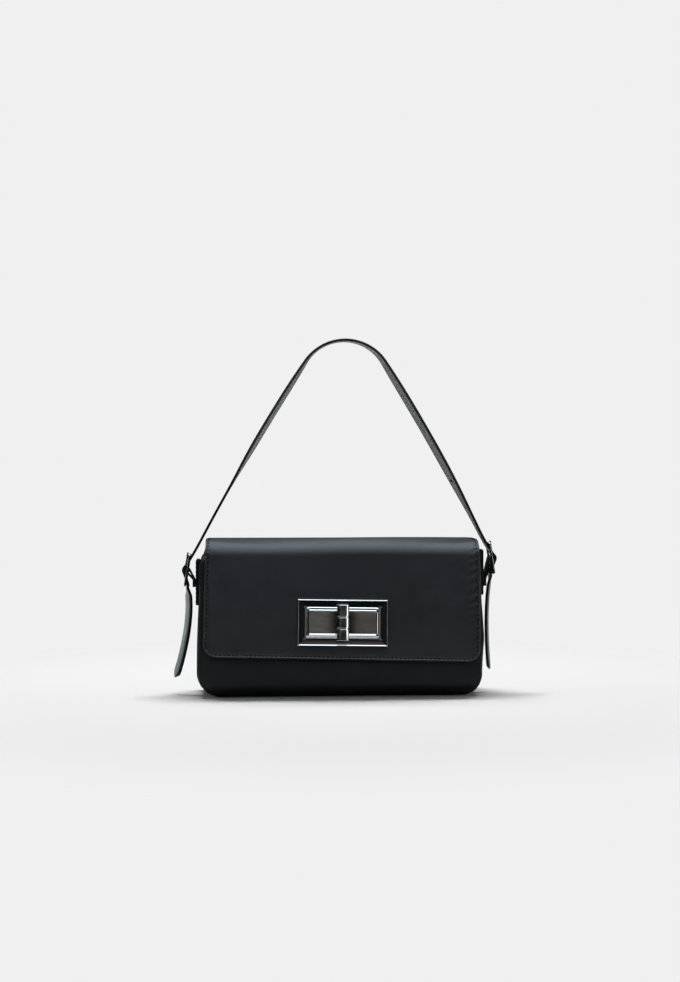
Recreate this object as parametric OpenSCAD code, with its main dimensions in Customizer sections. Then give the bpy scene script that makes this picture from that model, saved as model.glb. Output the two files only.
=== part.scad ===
// Baguette bag: a slim shoulder bag with a folded flap, a turn lock and a buckled strap.
// Millimetres. X runs to the bag's left and right, the front faces -Y, and Z is up.
// The origin is the centre of the base, on the surface that the bag stands on.

/* [Body] */
// Width of the body across its gussets
body_w = 262; // [220:1:300]
// Depth of the body at the base
base_d = 64; // [54:1:80]
// Depth of the body at the mouth
top_d = 44; // [38:1:54]
// How far the front panel and the gussets end below the back panel
mouth_drop = 12.6; // [12.6:0.2:24]
// Height of the back panel, which carries the flap
back_h = 140.6; // [138:0.2:150]
// Height at which the sides start to draw in towards the top
shoulder_h = 118; // [100:1:124]
// How far each side has drawn in at the top of the back panel
side_taper = 7; // [5:0.5:12]
// Radius of the lower corners, seen from the front
corner_r = 22; // [16:1:30]
// Radius of the lower edges, seen from the side
edge_r = 12; // [8:0.5:16]
// Thickness of the body leather
leather_t = 2; // [1.6:0.1:2.4]
// Depth of the rim that each panel turns round its edge
rim_d = 4; // [3:0.5:6]

/* [Inside] */
// Thickness of the lining
lining_t = 0.6; // [0.4:0.1:1]
// Room between the leather and the lining
lining_gap = 2.4; // [2.3:0.1:3.5]
// Thickness of the base board
board_t = 2; // [1.5:0.1:2.2]
// Width of the slip pocket
pocket_w = 120; // [90:1:150]
// Height of the slip pocket
pocket_h = 70; // [50:1:80]
// Height of the pocket's lower seam
pocket_z = 34; // [30:1:40]

/* [Flap] */
// Width of the flap at its rolled front edge
flap_top_w = 248; // [210:1:250]
// Width of the flap at its lower edge
flap_low_w = 252; // [214:1:254]
// Width of the flap where it leaves the back panel
flap_rear_w = 240; // [210:1:242]
// Height of the flap's lower edge
flap_low_h = 35.5; // [28:0.5:40]
// Radius of the flap's lower corners
flap_corner_r = 12; // [8:0.5:18]
// Outer radius of the roll along the flap's front edge
roll_r = 16; // [14:0.5:18]
// Thickness of the flap's leather
flap_leather_t = 1.6; // [1.2:0.1:2]
// Thickness of the flap's lining
flap_lining_t = 0.8; // [0.5:0.1:1]
// Space between the front panel and the flap, which the lock's plates fill
flap_gap = 2.3; // [2.3:0.1:3]

/* [Lock] */
// Height of the lock's centre
lock_h = 67; // [62:0.5:74]
// Width of the lock's frame
lock_w = 82; // [76:1:90]
// Height of the lock's frame
lock_tall = 42.5; // [40:0.5:46]
// How far the lock's frame stands off the flap
lock_rise = 4.5; // [4:0.1:5.5]
// Width of the flat rim round the frame
lock_rim = 1.5; // [1:0.1:2]
// Width of the sunken ledge inside the sloping band
ledge_w = 73; // [71:0.5:74]
// Height of the sunken ledge
ledge_tall = 33; // [32:0.5:34]
// Width of the raised ring
ring_w = 66.5; // [65:0.5:68]
// Height of the raised ring
ring_tall = 28; // [27:0.5:30]
// Width of the polished panel inside the ring
panel_w = 61.5; // [60:0.5:62]
// Height of the polished panel inside the ring
panel_tall = 20; // [19:0.5:22]
// Width of the turning knob
knob_w = 11; // [9:0.5:13]
// Length of the turning knob
knob_l = 32; // [28:0.5:36]
// Thickness of the turning knob
knob_t = 5.2; // [4.5:0.1:6]
// Distance from the knob's centre to each of its two grooves
groove_step = 5.2; // [4:0.1:7]
// Diameter of the spindle that the knob turns on
spindle_d = 4.4; // [4:0.1:4.4]
// Length of the latch bar on the spindle's inner end
latch_l = 12; // [10:0.5:13]
// Width of the latch bar
latch_w = 4; // [3.5:0.1:4.2]
// Thickness of the latch bar
latch_t = 2; // [1.5:0.1:2.5]
// Width of the slot that the latch bar passes through
slot_w = 5.2; // [5:0.1:6]
// Height of the slot
slot_l = 19; // [19:0.5:22]
// Width of the keeper plates on the front panel
keeper_w = 30; // [26:1:36]
// Height of the keeper plates
keeper_l = 36; // [34:1:40]

/* [Strap] */
// Height of the top of the standing strap
strap_h = 328; // [290:1:380]
// Width of the strap
strap_w = 13; // [10:0.5:15]
// Thickness of the strap
strap_t = 2.4; // [2:0.1:2.8]
// Radius of the strap's crown, to its middle line
crown_r = 49; // [40:1:60]
// How far each leg of the strap bows outwards
leg_bow = 2.5; // [0:0.5:4]
// Distance from the prong's hole to the nearer spare hole
hole_first = 46; // [40:1:60]
// Distance between the spare holes
hole_pitch = 27.6; // [20:0.2:32]
// Diameter of the spare holes
hole_d = 3; // [2.5:0.1:4]
// Length of the left tail, straight down
left_tail_drop = 82; // [60:1:84]
// How far the left tail's tip splays out
left_tail_out = 10.6; // [4:0.1:14]
// Length of the right tail, straight down
right_tail_drop = 86.6; // [60:0.2:90]
// How far the right tail's tip draws in
right_tail_in = 1.4; // [0:0.1:2]

/* [Buckles and tabs] */
// Height of the left buckle's centre bar
left_buckle_h = 114.2; // [112:0.2:118]
// Height of the right buckle's centre bar
right_buckle_h = 124.4; // [118:0.2:128]
// Distance of each centre bar outside the gusset
buckle_off = 9.8; // [9:0.1:12]
// Tilt of the buckles, with the top towards the bag
buckle_lean = 9; // [6:0.5:12]
// Outer length of a buckle's frame
buckle_l = 30; // [28:0.5:32]
// Diameter of the wire that the frame is made of
wire_d = 2.4; // [2:0.1:2.6]
// Diameter of the centre bar
bar_d = 2.2; // [2:0.1:2.4]
// Diameter of the prong
prong_d = 1.8; // [1.5:0.1:2]
// Free travel of the prong in its hole, in degrees
prong_play = 8; // [4:1:10]
// Thickness of the chape leather that holds a buckle
chape_t = 1.4; // [1.2:0.1:1.5]
// Height of the strap's swing axis
swing_h = 105; // [104:0.5:106]
// Width of the side tabs
tab_w = 16; // [14:0.5:20]
// Length of the side tabs
tab_l = 42.5; // [36:0.5:44]
// Thickness of the side tabs
tab_t = 2; // [1.6:0.1:2.2]
// Height of the left tab's lower edge
left_tab_h = 82; // [80:0.5:86]
// Height of the right tab's lower edge
right_tab_h = 90.5; // [84:0.5:91]

/* [Hidden] */
$fn = 64;

far = 400;              // larger than the whole bag, for cuts that run right through
above = 1;              // how far outlines pass the height at which they are cut
proud = 0.01;           // how far a round face stands proud of the flat faces that it meets
flat = 0.1;             // half the straight side left between two round corners
snug = 0.3;             // space between neighbours that touch on the real bag
run = 0.05;             // radial running clearance of round metal parts
half_w = body_w / 2;
mouth_h = back_h - mouth_drop;                               // top of the front panel and the gussets
lean = atan((base_d - top_d) / 2 / (back_h - edge_r));      // slope of the front and the back
inner_t = leather_t + lining_gap;                           // from the outside to the lining
flap_t = flap_leather_t + flap_lining_t;
flap_out = flap_gap + flap_t;                               // from the panel to the flap's outside

// Half the body's depth at a height
function half_d(z) = top_d / 2 + (back_h - z) * tan(lean);

flap_z = back_h + snug + flap_t;                            // top of the closed flap
roll_z = flap_z - roll_r;
roll_c = [-half_d(roll_z) - flap_out / cos(lean) + roll_r / cos(lean), roll_z];
fold_angle = 90 + (90 - lean) / 2;                          // middle of the roll
fold = roll_c + roll_r * [cos(fold_angle), sin(fold_angle)];

plate_t = 0.8;          // thickness of the hidden backing plates
keeper_t = 1;           // thickness of the keeper plate
slot_rise = 2.5;        // the slot sits higher than the lock, because the flap lifts as it opens
frame_base_t = 1.2;     // floor of the lock's frame
ledge_rise = 3.6;       // the ledge, above the flap
ring_rise = 4.2;        // the raised ring, above the flap
panel_t = 1.1;          // thickness of the polished panel
knob_base = ring_rise + snug;
latch_u = -(inner_t + lining_t + snug + latch_t);           // inner face of the latch bar
latch_screw_l = 6;      // length of the screw that holds the latch bar
rivet_d = 2.4;          // rivets of the keeper
screw_d = 2;            // screws of the lock
head_over = 1.6;        // how much wider a rivet's or screw's head is than its shank
fixing_inset = 4;       // rivets and screws, from the edges of what they hold
washer_d = 9;           // washer that the knob's detent runs on
plate_r = 3;            // corner radius of the hidden plates and of the ring
panel_r = 1;            // corner radius of the polished panel
frame_r = 0.8;          // corner radius of the lock's frame
lining_low = 0.5;       // the lining's edge, below the mouth
side_play = 1;          // room for the strap on each side within a buckle
prong_past = 1;         // how far the prong reaches past its buckle's frame
tail_clear = 0.5;       // the tail starts to bend this far below its buckle
tail_bend = 0.385;      // share of a tail's drop at which its curve turns
left_tail_tuck = 5;     // how far the left tail first hangs in under its buckle
right_tail_tuck = 6;    // how far the right tail first hangs in under its buckle
crown_steps = 12;       // flats in each half of the strap's crown
leg_steps = 8;          // flats in each leg of the strap
tail_steps = 16;        // flats in each tail
over_step = 22;         // turn between the strap's flats over a centre bar, in degrees

bar_x = half_w + buckle_off;
buckle_half = (buckle_l - wire_d) / 2;                      // bar to the middle of the end wires
buckle_in = strap_w / 2 + side_play;                        // half the clear width of the frame
wrap_r = bar_d / 2 + run + chape_t;                         // outside of the chape round the bar
over_r = wrap_r + snug + strap_t / 2;                       // middle of the strap over the bar
under = wire_d / 2 + snug + strap_t / 2;                    // middle of the strap behind the wires
tail_cut = buckle_half + wire_d / 2 + tail_clear;           // where the tail bends, below the bar
prong_out = wire_d / 2 + prong_d / 2 + run;                 // the prong lies on the frame's end wire
prong_l = buckle_half + wire_d / 2 + prong_past;
eye_r = bar_d / 2 + run + prong_d * 0.7;                    // outside of the prong's eye
crown_z = strap_h - strap_t / 2 - crown_r;                  // centre of the strap's crown
tab_out = half_w + tab_t;
chape_in = tab_out + snug;
chape_out = chape_in + 2 * chape_t;

// Places children on the front panel's face: Y up the slope and Z straight out of it
module on_front(z) {
    translate([0, -half_d(z), z]) rotate([90 - lean, 0, 0]) children();
}

// Draws children for the bag's right side, or mirrored for its left
module on_side(left) {
    mirror([left ? 1 : 0, 0, 0]) children();
}

// Extrudes an X and Z outline along Y, and a Y and Z outline along X
module along_y(length) {
    rotate([90, 0, 0]) linear_extrude(length, center = true) children();
}

module along_x(length) {
    rotate([90, 0, 90]) linear_extrude(length, center = true) children();
}

// A rectangle with round corners, centred
module round_rect(w, h, r) {
    square([w - 2 * r, h], center = true);
    square([w, h - 2 * r], center = true);
    for (x = [-1, 1], y = [-1, 1]) {
        translate([x * (w / 2 - r), y * (h / 2 - r)]) circle(r);
    }
}

// A block with sloping sides, from one rectangle at the bottom to another at the top
module sloped_block(low, high, d) {
    intersection() {
        along_y(far) polygon([
            [-low[0] / 2, 0], [low[0] / 2, 0], [high[0] / 2, d], [-high[0] / 2, d]
        ]);
        along_x(far) polygon([
            [-low[1] / 2, 0], [low[1] / 2, 0], [high[1] / 2, d], [-high[1] / 2, d]
        ]);
    }
}

// The body's outline from the front, drawn in by inset
module front_outline(inset) {
    side = half_w - inset;
    high = back_h + above;
    slope = side_taper / (back_h - shoulder_h);
    polygon([
        [-side + slope * (high - shoulder_h), high], [-side, shoulder_h], [-side, corner_r],
        [side, corner_r], [side, shoulder_h], [side - slope * (high - shoulder_h), high]
    ]);
    for (x = [-1, 1]) translate([x * (half_w - corner_r), corner_r]) circle(corner_r - inset);
    translate([corner_r - half_w, inset]) square([body_w - 2 * corner_r, corner_r]);
}

// The body's outline from the side, drawn in by inset
module side_outline(inset) {
    low = base_d / 2 - inset;
    high = back_h + above;
    polygon([
        [-half_d(high) + inset, high], [-low, edge_r], [low, edge_r], [half_d(high) - inset, high]
    ]);
    for (y = [-1, 1]) translate([y * (base_d / 2 - edge_r), edge_r]) circle(edge_r - inset);
    translate([edge_r - base_d / 2, inset]) square([base_d - 2 * edge_r, edge_r]);
}

// The solid body, drawn in by inset and cut off at a height
module body_block(inset, top) {
    intersection() {
        along_y(far) front_outline(inset);
        along_x(far) side_outline(inset);
        translate([-far / 2, -far / 2, 0]) cube([far, far, top]);
    }
}

// The leather walls of the body up to a height
module body_shell(top) {
    difference() {
        body_block(0, top);
        body_block(leather_t, far);
    }
}

// The space within a panel's rim: front is -1 and back is 1
module rim_space(way) {
    along_x(far) polygon([
        [way * (half_d(far) - rim_d), far], [way * (half_d(0) - rim_d), 0],
        [way * (half_d(0) - rim_d), -far], [way * far, -far], [way * far, far]
    ]);
}

// The keeper slot, as a cutter through the front panel and what lies behind it
module slot_cut() {
    on_front(lock_h) {
        translate([0, slot_rise, 0]) linear_extrude(5 * inner_t, center = true)
            round_rect(slot_w, slot_l, slot_w / 2 - flat);
    }
}

// The keeper's four rivet places
module at_rivets() {
    for (x = [-1, 1], y = [-1, 1]) {
        translate([x * (keeper_w / 2 - fixing_inset), y * (keeper_l / 2 - fixing_inset), 0]) children();
    }
}

module front_panel() {
    color("#1b1c20") difference() {
        intersection() {
            body_shell(mouth_h);
            rim_space(-1);
        }
        slot_cut();
        on_front(lock_h) at_rivets() cylinder(d = rivet_d, h = 4 * leather_t, center = true);
    }
}

module back_panel() {
    color("#1b1c20") intersection() {
        body_shell(back_h);
        rim_space(1);
    }
}

module gusset_band() {
    color("#17181b") difference() {
        body_shell(mouth_h);
        rim_space(-1);
        rim_space(1);
    }
}

module base_board() {
    board_in = 3;
    board_r = 4;
    board_w = body_w - 2 * corner_r - 2 * board_in;
    board_d = base_d - 2 * edge_r;
    color("#5a5145") translate([0, 0, leather_t]) linear_extrude(board_t)
        round_rect(board_w, board_d, board_r);
}

module lining() {
    color("#3a3b40") difference() {
        body_block(inner_t, mouth_h - lining_low);
        body_block(inner_t + lining_t, far);
        slot_cut();
    }
}

module slip_pocket() {
    slit = 1.2;
    seam = 2;
    wall = inner_t + lining_t;
    color("#43444a") translate([0, half_d(pocket_z), pocket_z]) rotate([90 + lean, 0, 0])
        translate([0, 0, wall * cos(lean)]) difference() {
            linear_extrude(slit + lining_t) translate([-pocket_w / 2, 0]) square([pocket_w, pocket_h]);
            translate([seam - pocket_w / 2, seam, -slit]) cube([pocket_w - 2 * seam, pocket_h, 2 * slit]);
        }
}

module side_tab(low) {
    color("#15161a") translate([half_w, -tab_w / 2, low]) cube([tab_t, tab_w, tab_l]);
}

module side_tab_left() {
    on_side(true) side_tab(left_tab_h);
}

module side_tab_right() {
    on_side(false) side_tab(right_tab_h);
}

module keeper_sheet(t) {
    difference() {
        linear_extrude(t) round_rect(keeper_w, keeper_l, plate_r);
        at_rivets() cylinder(d = rivet_d, h = 4 * t, center = true);
    }
}

module keeper_plate() {
    color("#b9bbc0") difference() {
        on_front(lock_h) keeper_sheet(keeper_t);
        slot_cut();
    }
}

module keeper_backing() {
    color("#8f9196") difference() {
        on_front(lock_h) translate([0, 0, -leather_t - plate_t]) keeper_sheet(plate_t);
        slot_cut();
    }
}

module keeper_rivets() {
    head_t = 0.3;
    length = leather_t + plate_t + keeper_t;
    color("#a5a7ac") on_front(lock_h) at_rivets() {
        translate([0, 0, -leather_t - plate_t]) cylinder(d = rivet_d, h = length);
        translate([0, 0, keeper_t]) cylinder(d = rivet_d + head_over, h = head_t);
        translate([0, 0, -leather_t - plate_t - head_t]) cylinder(d = rivet_d + head_over, h = head_t);
    }
}

// Everything under the flap's outer face, drawn in by t, as a Y and Z outline
module flap_region(t) {
    tangent = roll_c + (roll_r - t) * [-cos(lean), sin(lean)];
    low = tangent - far * [sin(lean), cos(lean)];
    rear = half_d(back_h);
    polygon([[rear + t, flap_z - t], [roll_c[0], flap_z - t], roll_c, tangent, low, [rear + t, -far]]);
    translate(roll_c) circle(roll_r - t + proud);
}

// One layer of the flap, between two depths under its outer face
module flap_layer(from, to) {
    difference() {
        intersection() {
            flap_region(from);
            translate([-far, 0]) square([far + half_d(back_h), far]);
        }
        flap_region(to);
    }
}

// The half of the flap's section on one side of the fold: front is 1 and rear is -1
module fold_side(way) {
    translate(roll_c) rotate(fold_angle) translate([-far, way > 0 ? snug / 2 : -snug / 2 - far])
        square([2 * far, far]);
}

// The flap's outline from above, widening from the back panel to the roll
module flap_plan() {
    rear = half_d(back_h);
    polygon([
        [-flap_rear_w / 2, rear], [-flap_top_w / 2, fold[0]], [-flap_top_w / 2, fold[0] - roll_r],
        [flap_top_w / 2, fold[0] - roll_r], [flap_top_w / 2, fold[0]], [flap_rear_w / 2, rear]
    ]);
}

// The flap's outline from the front
module flap_face() {
    low_x = flap_low_w / 2;
    corner_z = flap_low_h + flap_corner_r;
    polygon([
        [-flap_top_w / 2, flap_z + above], [-low_x, corner_z],
        [low_x, corner_z], [flap_top_w / 2, flap_z + above]
    ]);
    for (x = [-1, 1]) translate([x * (low_x - flap_corner_r), corner_z]) circle(flap_corner_r);
    translate([flap_corner_r - low_x, flap_low_h])
        square([flap_low_w - 2 * flap_corner_r, flap_corner_r]);
}

module flap_top_layer(from, to) {
    intersection() {
        along_x(far) intersection() {
            flap_layer(from, to);
            fold_side(-1);
        }
        linear_extrude(far) flap_plan();
    }
}

module flap_front_layer(from, to) {
    intersection() {
        along_x(far) intersection() {
            flap_layer(from, to);
            fold_side(1);
        }
        along_y(far) flap_face();
    }
}

// The lock's four screw places
module at_screws() {
    for (x = [-1, 1], y = [-1, 1]) {
        translate([x * (ledge_w / 2 - fixing_inset), y * (ledge_tall / 2 - fixing_inset), 0]) children();
    }
}

// The holes in the flap for the lock's spindle and its screws
module lock_holes() {
    on_front(lock_h) {
        cylinder(d = washer_d + 2 * snug, h = 4 * flap_out, center = true);
        at_screws() cylinder(d = screw_d, h = 4 * flap_out, center = true);
    }
}

module flap_top() {
    color("#202126") flap_top_layer(0, flap_leather_t);
}

module flap_top_lining() {
    color("#2a2b30") flap_top_layer(flap_leather_t, flap_t);
}

module flap_front() {
    color("#202126") difference() {
        flap_front_layer(0, flap_leather_t);
        lock_holes();
    }
}

module flap_front_lining() {
    color("#2a2b30") difference() {
        flap_front_layer(flap_leather_t, flap_t);
        lock_holes();
    }
}

module lock_frame() {
    color("#c9ccd1") on_front(lock_h) translate([0, 0, flap_out]) difference() {
        union() {
            difference() {
                linear_extrude(lock_rise) round_rect(lock_w, lock_tall, frame_r);
                translate([0, 0, ledge_rise]) sloped_block(
                    [ledge_w, ledge_tall],
                    [lock_w - 2 * lock_rim, lock_tall - 2 * lock_rim],
                    lock_rise - ledge_rise + proud
                );
            }
            linear_extrude(ring_rise) round_rect(ring_w, ring_tall, plate_r);
        }
        translate([0, 0, frame_base_t]) linear_extrude(lock_rise) round_rect(panel_w, panel_tall, panel_r);
        cylinder(d = spindle_d + 2 * run, h = 3 * lock_rise, center = true);
        at_screws() cylinder(d = screw_d, h = 2 * frame_base_t, center = true);
    }
}

module lock_panel() {
    color("#dfe1e5") on_front(lock_h) translate([0, 0, flap_out + frame_base_t]) difference() {
        linear_extrude(panel_t) round_rect(panel_w, panel_tall, panel_r);
        cylinder(d = spindle_d + 2 * run, h = 3 * panel_t, center = true);
    }
}

module lock_backing() {
    color("#8f9196") on_front(lock_h) translate([0, 0, flap_gap - plate_t]) difference() {
        linear_extrude(plate_t) round_rect(ledge_w, ledge_tall, plate_r);
        cylinder(d = spindle_d + 2 * run, h = 3 * plate_t, center = true);
        at_screws() cylinder(d = screw_d, h = 3 * plate_t, center = true);
    }
}

module lock_screws() {
    head_t = 0.6;
    color("#a5a7ac") on_front(lock_h) translate([0, 0, flap_gap - plate_t]) at_screws() {
        cylinder(d = screw_d, h = plate_t + flap_t + frame_base_t);
        translate([0, 0, -head_t]) cylinder(d = screw_d + head_over, h = head_t);
    }
}

module detent_washer() {
    washer_t = 1;
    color("#9a9ca2") on_front(lock_h) translate([0, 0, flap_gap]) difference() {
        cylinder(d = washer_d, h = washer_t);
        cylinder(d = spindle_d + 2 * run, h = 3 * washer_t, center = true);
    }
}

module turn_knob() {
    edge = 1.3;
    groove_w = 1.2;
    groove_d = 0.8;
    neck_d = knob_w - 2;
    root = 0.5;
    low = frame_base_t + panel_t + run;
    groove_low = knob_base + knob_t - groove_d;
    color("#d3d6da") on_front(lock_h) translate([0, 0, flap_out]) difference() {
        union() {
            translate([0, 0, knob_base]) along_y(knob_l) polygon([
                [-knob_w / 2, 0], [knob_w / 2, 0], [knob_w / 2, knob_t - edge],
                [knob_w / 2 - edge, knob_t], [edge - knob_w / 2, knob_t], [-knob_w / 2, knob_t - edge]
            ]);
            translate([0, 0, low]) cylinder(d = neck_d, h = knob_base - low + root);
        }
        for (y = [-1, 1]) translate([-knob_w, y * groove_step - groove_w / 2, groove_low])
            cube([2 * knob_w, groove_w, 2 * groove_d]);
        cylinder(d = spindle_d, h = knob_base + knob_t / 2);
    }
}

module knob_spindle() {
    low = latch_u + latch_t;
    color("#b9bbc0") on_front(lock_h) translate([0, 0, low]) difference() {
        cylinder(d = spindle_d, h = flap_out + knob_base + knob_t / 2 - low);
        cylinder(d = screw_d, h = 2 * latch_screw_l - 2 * latch_t, center = true);
    }
}

module latch_bar() {
    color("#b9bbc0") on_front(lock_h) translate([0, 0, latch_u]) difference() {
        linear_extrude(latch_t) round_rect(latch_w, latch_l, latch_w / 2 - flat);
        cylinder(d = screw_d, h = 3 * latch_t, center = true);
    }
}

module latch_screw() {
    head_t = 1;
    color("#a5a7ac") on_front(lock_h) translate([0, 0, latch_u]) {
        cylinder(d = screw_d, h = latch_screw_l);
        translate([0, 0, -head_t]) cylinder(d = screw_d + head_over, h = head_t);
    }
}

// Directions of a buckle on the right side: out of its face, and up along its frame, as [x, z]
function out_dir() = [cos(buckle_lean), sin(buckle_lean)];
function up_dir() = [-sin(buckle_lean), cos(buckle_lean)];
// A point near a buckle's bar, out and up along the buckle, as [x, z]
function near_bar(bar_z, out, up) = [bar_x, bar_z] + out * out_dir() + up * up_dir();

// The angle from upright of a leg that is tangent to the crown and ends at p
function leg_angle(p) =
    let (d = norm(p - [0, crown_z])) atan2(p[0], crown_z - p[1]) - asin(crown_r / d);

// The strap's middle line on the right side, from the crown's top to the bend of the tail
function strap_side(bar_z) =
    let (
        top = near_bar(bar_z, -under, buckle_half),
        low = near_bar(bar_z, -under, -buckle_half),
        angle = leg_angle(top),
        start = [0, crown_z] + crown_r * [cos(angle), sin(angle)],
        side = [cos(angle), sin(angle)],
        crown = [for (i = [0:crown_steps - 1]) let (a = i * (90 - angle) / crown_steps)
            [0, crown_z] + crown_r * [sin(a), cos(a)]],
        leg = [for (i = [0:leg_steps - 1]) let (t = i / leg_steps)
            start + t * (top - start) + 4 * leg_bow * t * (1 - t) * side],
        over = [for (i = [-2:2]) let (a = -i * over_step) near_bar(bar_z, over_r * cos(a), over_r * sin(a))]
    )
    concat(crown, leg, [top], over, [low, near_bar(bar_z, -under, -tail_cut)]);

// A band of even thickness along a line of points
function unit(v) = v / norm(v);
function side_of(pts, i) =
    let (d = unit(pts[min(i + 1, len(pts) - 1)] - pts[max(i - 1, 0)])) [-d[1], d[0]];
function band(pts, half) = concat(
    [for (i = [0:len(pts) - 1]) pts[i] + half * side_of(pts, i)],
    [for (i = [len(pts) - 1:-1:0]) pts[i] - half * side_of(pts, i)]
);

// A point and direction on the straight of a leg, at a distance from the prong's hole
function leg_point(bar_z, dist) =
    let (
        top = near_bar(bar_z, -under, buckle_half),
        angle = leg_angle(top),
        side = [cos(angle), sin(angle)],
        length = norm(top - [0, crown_z] - crown_r * side),
        t = 1 - (dist - buckle_half / 2) / length
    )
    top + (1 - t) * length * [-sin(angle), cos(angle)] + 4 * leg_bow * t * (1 - t) * side;

// Places children at a buckle on the right side: X out of its face and Z up along its frame
module at_bar(bar_z) {
    translate([bar_x, 0, bar_z]) rotate([0, -buckle_lean, 0]) children();
}

// The slot that the prong needs through the strap or the chape, with its play
module prong_slot(wide) {
    r = prong_d / 2 + wide;
    low = -2 * r;
    high = prong_l + wide;
    along_y(2 * r) polygon([
        [prong_out - r, low], [prong_out + r, low],
        [prong_out + r + high * tan(prong_play), high], [prong_out - r, high]
    ]);
}

module shoulder_strap() {
    right = strap_side(right_buckle_h);
    left = strap_side(left_buckle_h);
    line = concat(
        [for (i = [len(left) - 1:-1:1]) [-left[i][0], left[i][1]]],
        right
    );
    color("#141519") difference() {
        along_y(strap_w) polygon(band(line, strap_t / 2));
        for (left_side = [true, false]) {
            bar_z = left_side ? left_buckle_h : right_buckle_h;
            angle = leg_angle(near_bar(bar_z, -under, buckle_half));
            on_side(left_side) {
                at_bar(bar_z) prong_slot(2 * snug);
                for (k = [0, 1]) {
                    p = leg_point(bar_z, hole_first + k * hole_pitch);
                    translate([p[0], 0, p[1]]) rotate([0, 90 - angle, 0])
                        cylinder(d = hole_d, h = 6 * strap_t, center = true);
                }
            }
        }
    }
}

// A tail hangs from the bend below its buckle and ends in a round tip
module tail(bar_z, drop, out, tuck) {
    start = near_bar(bar_z, -under, -tail_cut - snug);
    bend = start + [-tuck, -drop * tail_bend];
    tip = start + [out, -drop];
    curve = [for (i = [1:tail_steps]) let (t = i / tail_steps)
        (1 - t) * (1 - t) * start + 2 * t * (1 - t) * bend + t * t * tip];
    line = concat([start, start - up_dir()], curve);
    color("#141519") intersection() {
        along_y(strap_w) polygon(band(line, strap_t / 2));
        along_x(3 * far) {
            translate([0, tip[1] + strap_w / 2]) circle(strap_w / 2);
            translate([-strap_w / 2, tip[1] + strap_w / 2]) square([strap_w, far]);
        }
    }
}

module strap_tail_left() {
    on_side(true) tail(left_buckle_h, left_tail_drop, left_tail_out, left_tail_tuck);
}

module strap_tail_right() {
    on_side(false) tail(right_buckle_h, right_tail_drop, -right_tail_in, right_tail_tuck);
}

// The chape: a doubled leather strip from the swing axis up and round the centre bar
module chape(bar_z) {
    mid = (chape_in + chape_out) / 2;
    neck_rise = 1;
    neck = [mid, swing_h + neck_rise];
    eye = [bar_x, bar_z];
    color("#1a1b1f") difference() {
        union() {
            translate([chape_in, 0, swing_h]) rotate([0, 90, 0])
                cylinder(d = strap_w, h = chape_out - chape_in);
            along_y(strap_w) polygon(band([[mid, swing_h], neck, eye], chape_t));
            translate([bar_x, 0, bar_z]) rotate([90, 0, 0])
                cylinder(r = wrap_r, h = strap_w, center = true);
        }
        translate([bar_x, 0, bar_z]) rotate([90, 0, 0])
            cylinder(d = bar_d + 2 * run, h = 2 * strap_w, center = true);
        at_bar(bar_z) {
            prong_slot(snug);
            rotate([90, 0, 0]) cylinder(r = eye_r + snug, h = prong_d + 2 * snug, center = true);
        }
    }
}

module chape_left() {
    on_side(true) chape(left_buckle_h);
}

module chape_right() {
    on_side(false) chape(right_buckle_h);
}

// The buckle's frame of round wire with its centre bar
module buckle(bar_z) {
    wire_y = buckle_in + wire_d / 2;
    color("#c4c7cc") at_bar(bar_z) {
        for (z = [-1, 1]) {
            translate([0, 0, z * buckle_half]) rotate([90, 0, 0])
                cylinder(d = wire_d, h = 2 * wire_y, center = true);
            for (y = [-1, 1]) translate([0, y * wire_y, z * buckle_half]) sphere(d = wire_d);
        }
        for (y = [-1, 1]) translate([0, y * wire_y, 0])
            cylinder(d = wire_d, h = 2 * buckle_half, center = true);
        rotate([90, 0, 0]) cylinder(d = bar_d, h = 2 * wire_y, center = true);
    }
}

module buckle_left() {
    on_side(true) buckle(left_buckle_h);
}

module buckle_right() {
    on_side(false) buckle(right_buckle_h);
}

// The prong: an eye round the bar and a rod that lies on the frame's upper wire
module prong(bar_z) {
    color("#cfd2d6") at_bar(bar_z) {
        difference() {
            union() {
                rotate([90, 0, 0]) cylinder(r = eye_r, h = prong_d, center = true);
                translate([prong_out, 0, 0]) cylinder(d = prong_d, h = prong_l);
            }
            rotate([90, 0, 0]) cylinder(d = bar_d + 2 * run, h = 2 * strap_w, center = true);
        }
    }
}

module prong_left() {
    on_side(true) prong(left_buckle_h);
}

module prong_right() {
    on_side(false) prong(right_buckle_h);
}

front_panel();
back_panel();
gusset_band();
base_board();
lining();
slip_pocket();
side_tab_left();
side_tab_right();
keeper_plate();
keeper_backing();
keeper_rivets();
flap_top();
flap_top_lining();
flap_front();
flap_front_lining();
lock_frame();
lock_panel();
lock_backing();
lock_screws();
detent_washer();
turn_knob();
knob_spindle();
latch_bar();
latch_screw();
shoulder_strap();
strap_tail_left();
strap_tail_right();
chape_left();
chape_right();
buckle_left();
buckle_right();
prong_left();
prong_right();
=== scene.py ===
# %% [markdown]
# # A baguette bag, dressed piece by piece
#
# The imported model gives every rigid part, every joint and the true sizes. This lesson puts soft
# leather, thread, cloth and polished metal on that frame. All lengths below are millimetres, and
# one helper turns a finished mesh into metres.

# %% Load the frame
import math

import bmesh
import bpy
import numpy as np
from mathutils import Matrix, Vector


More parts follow.
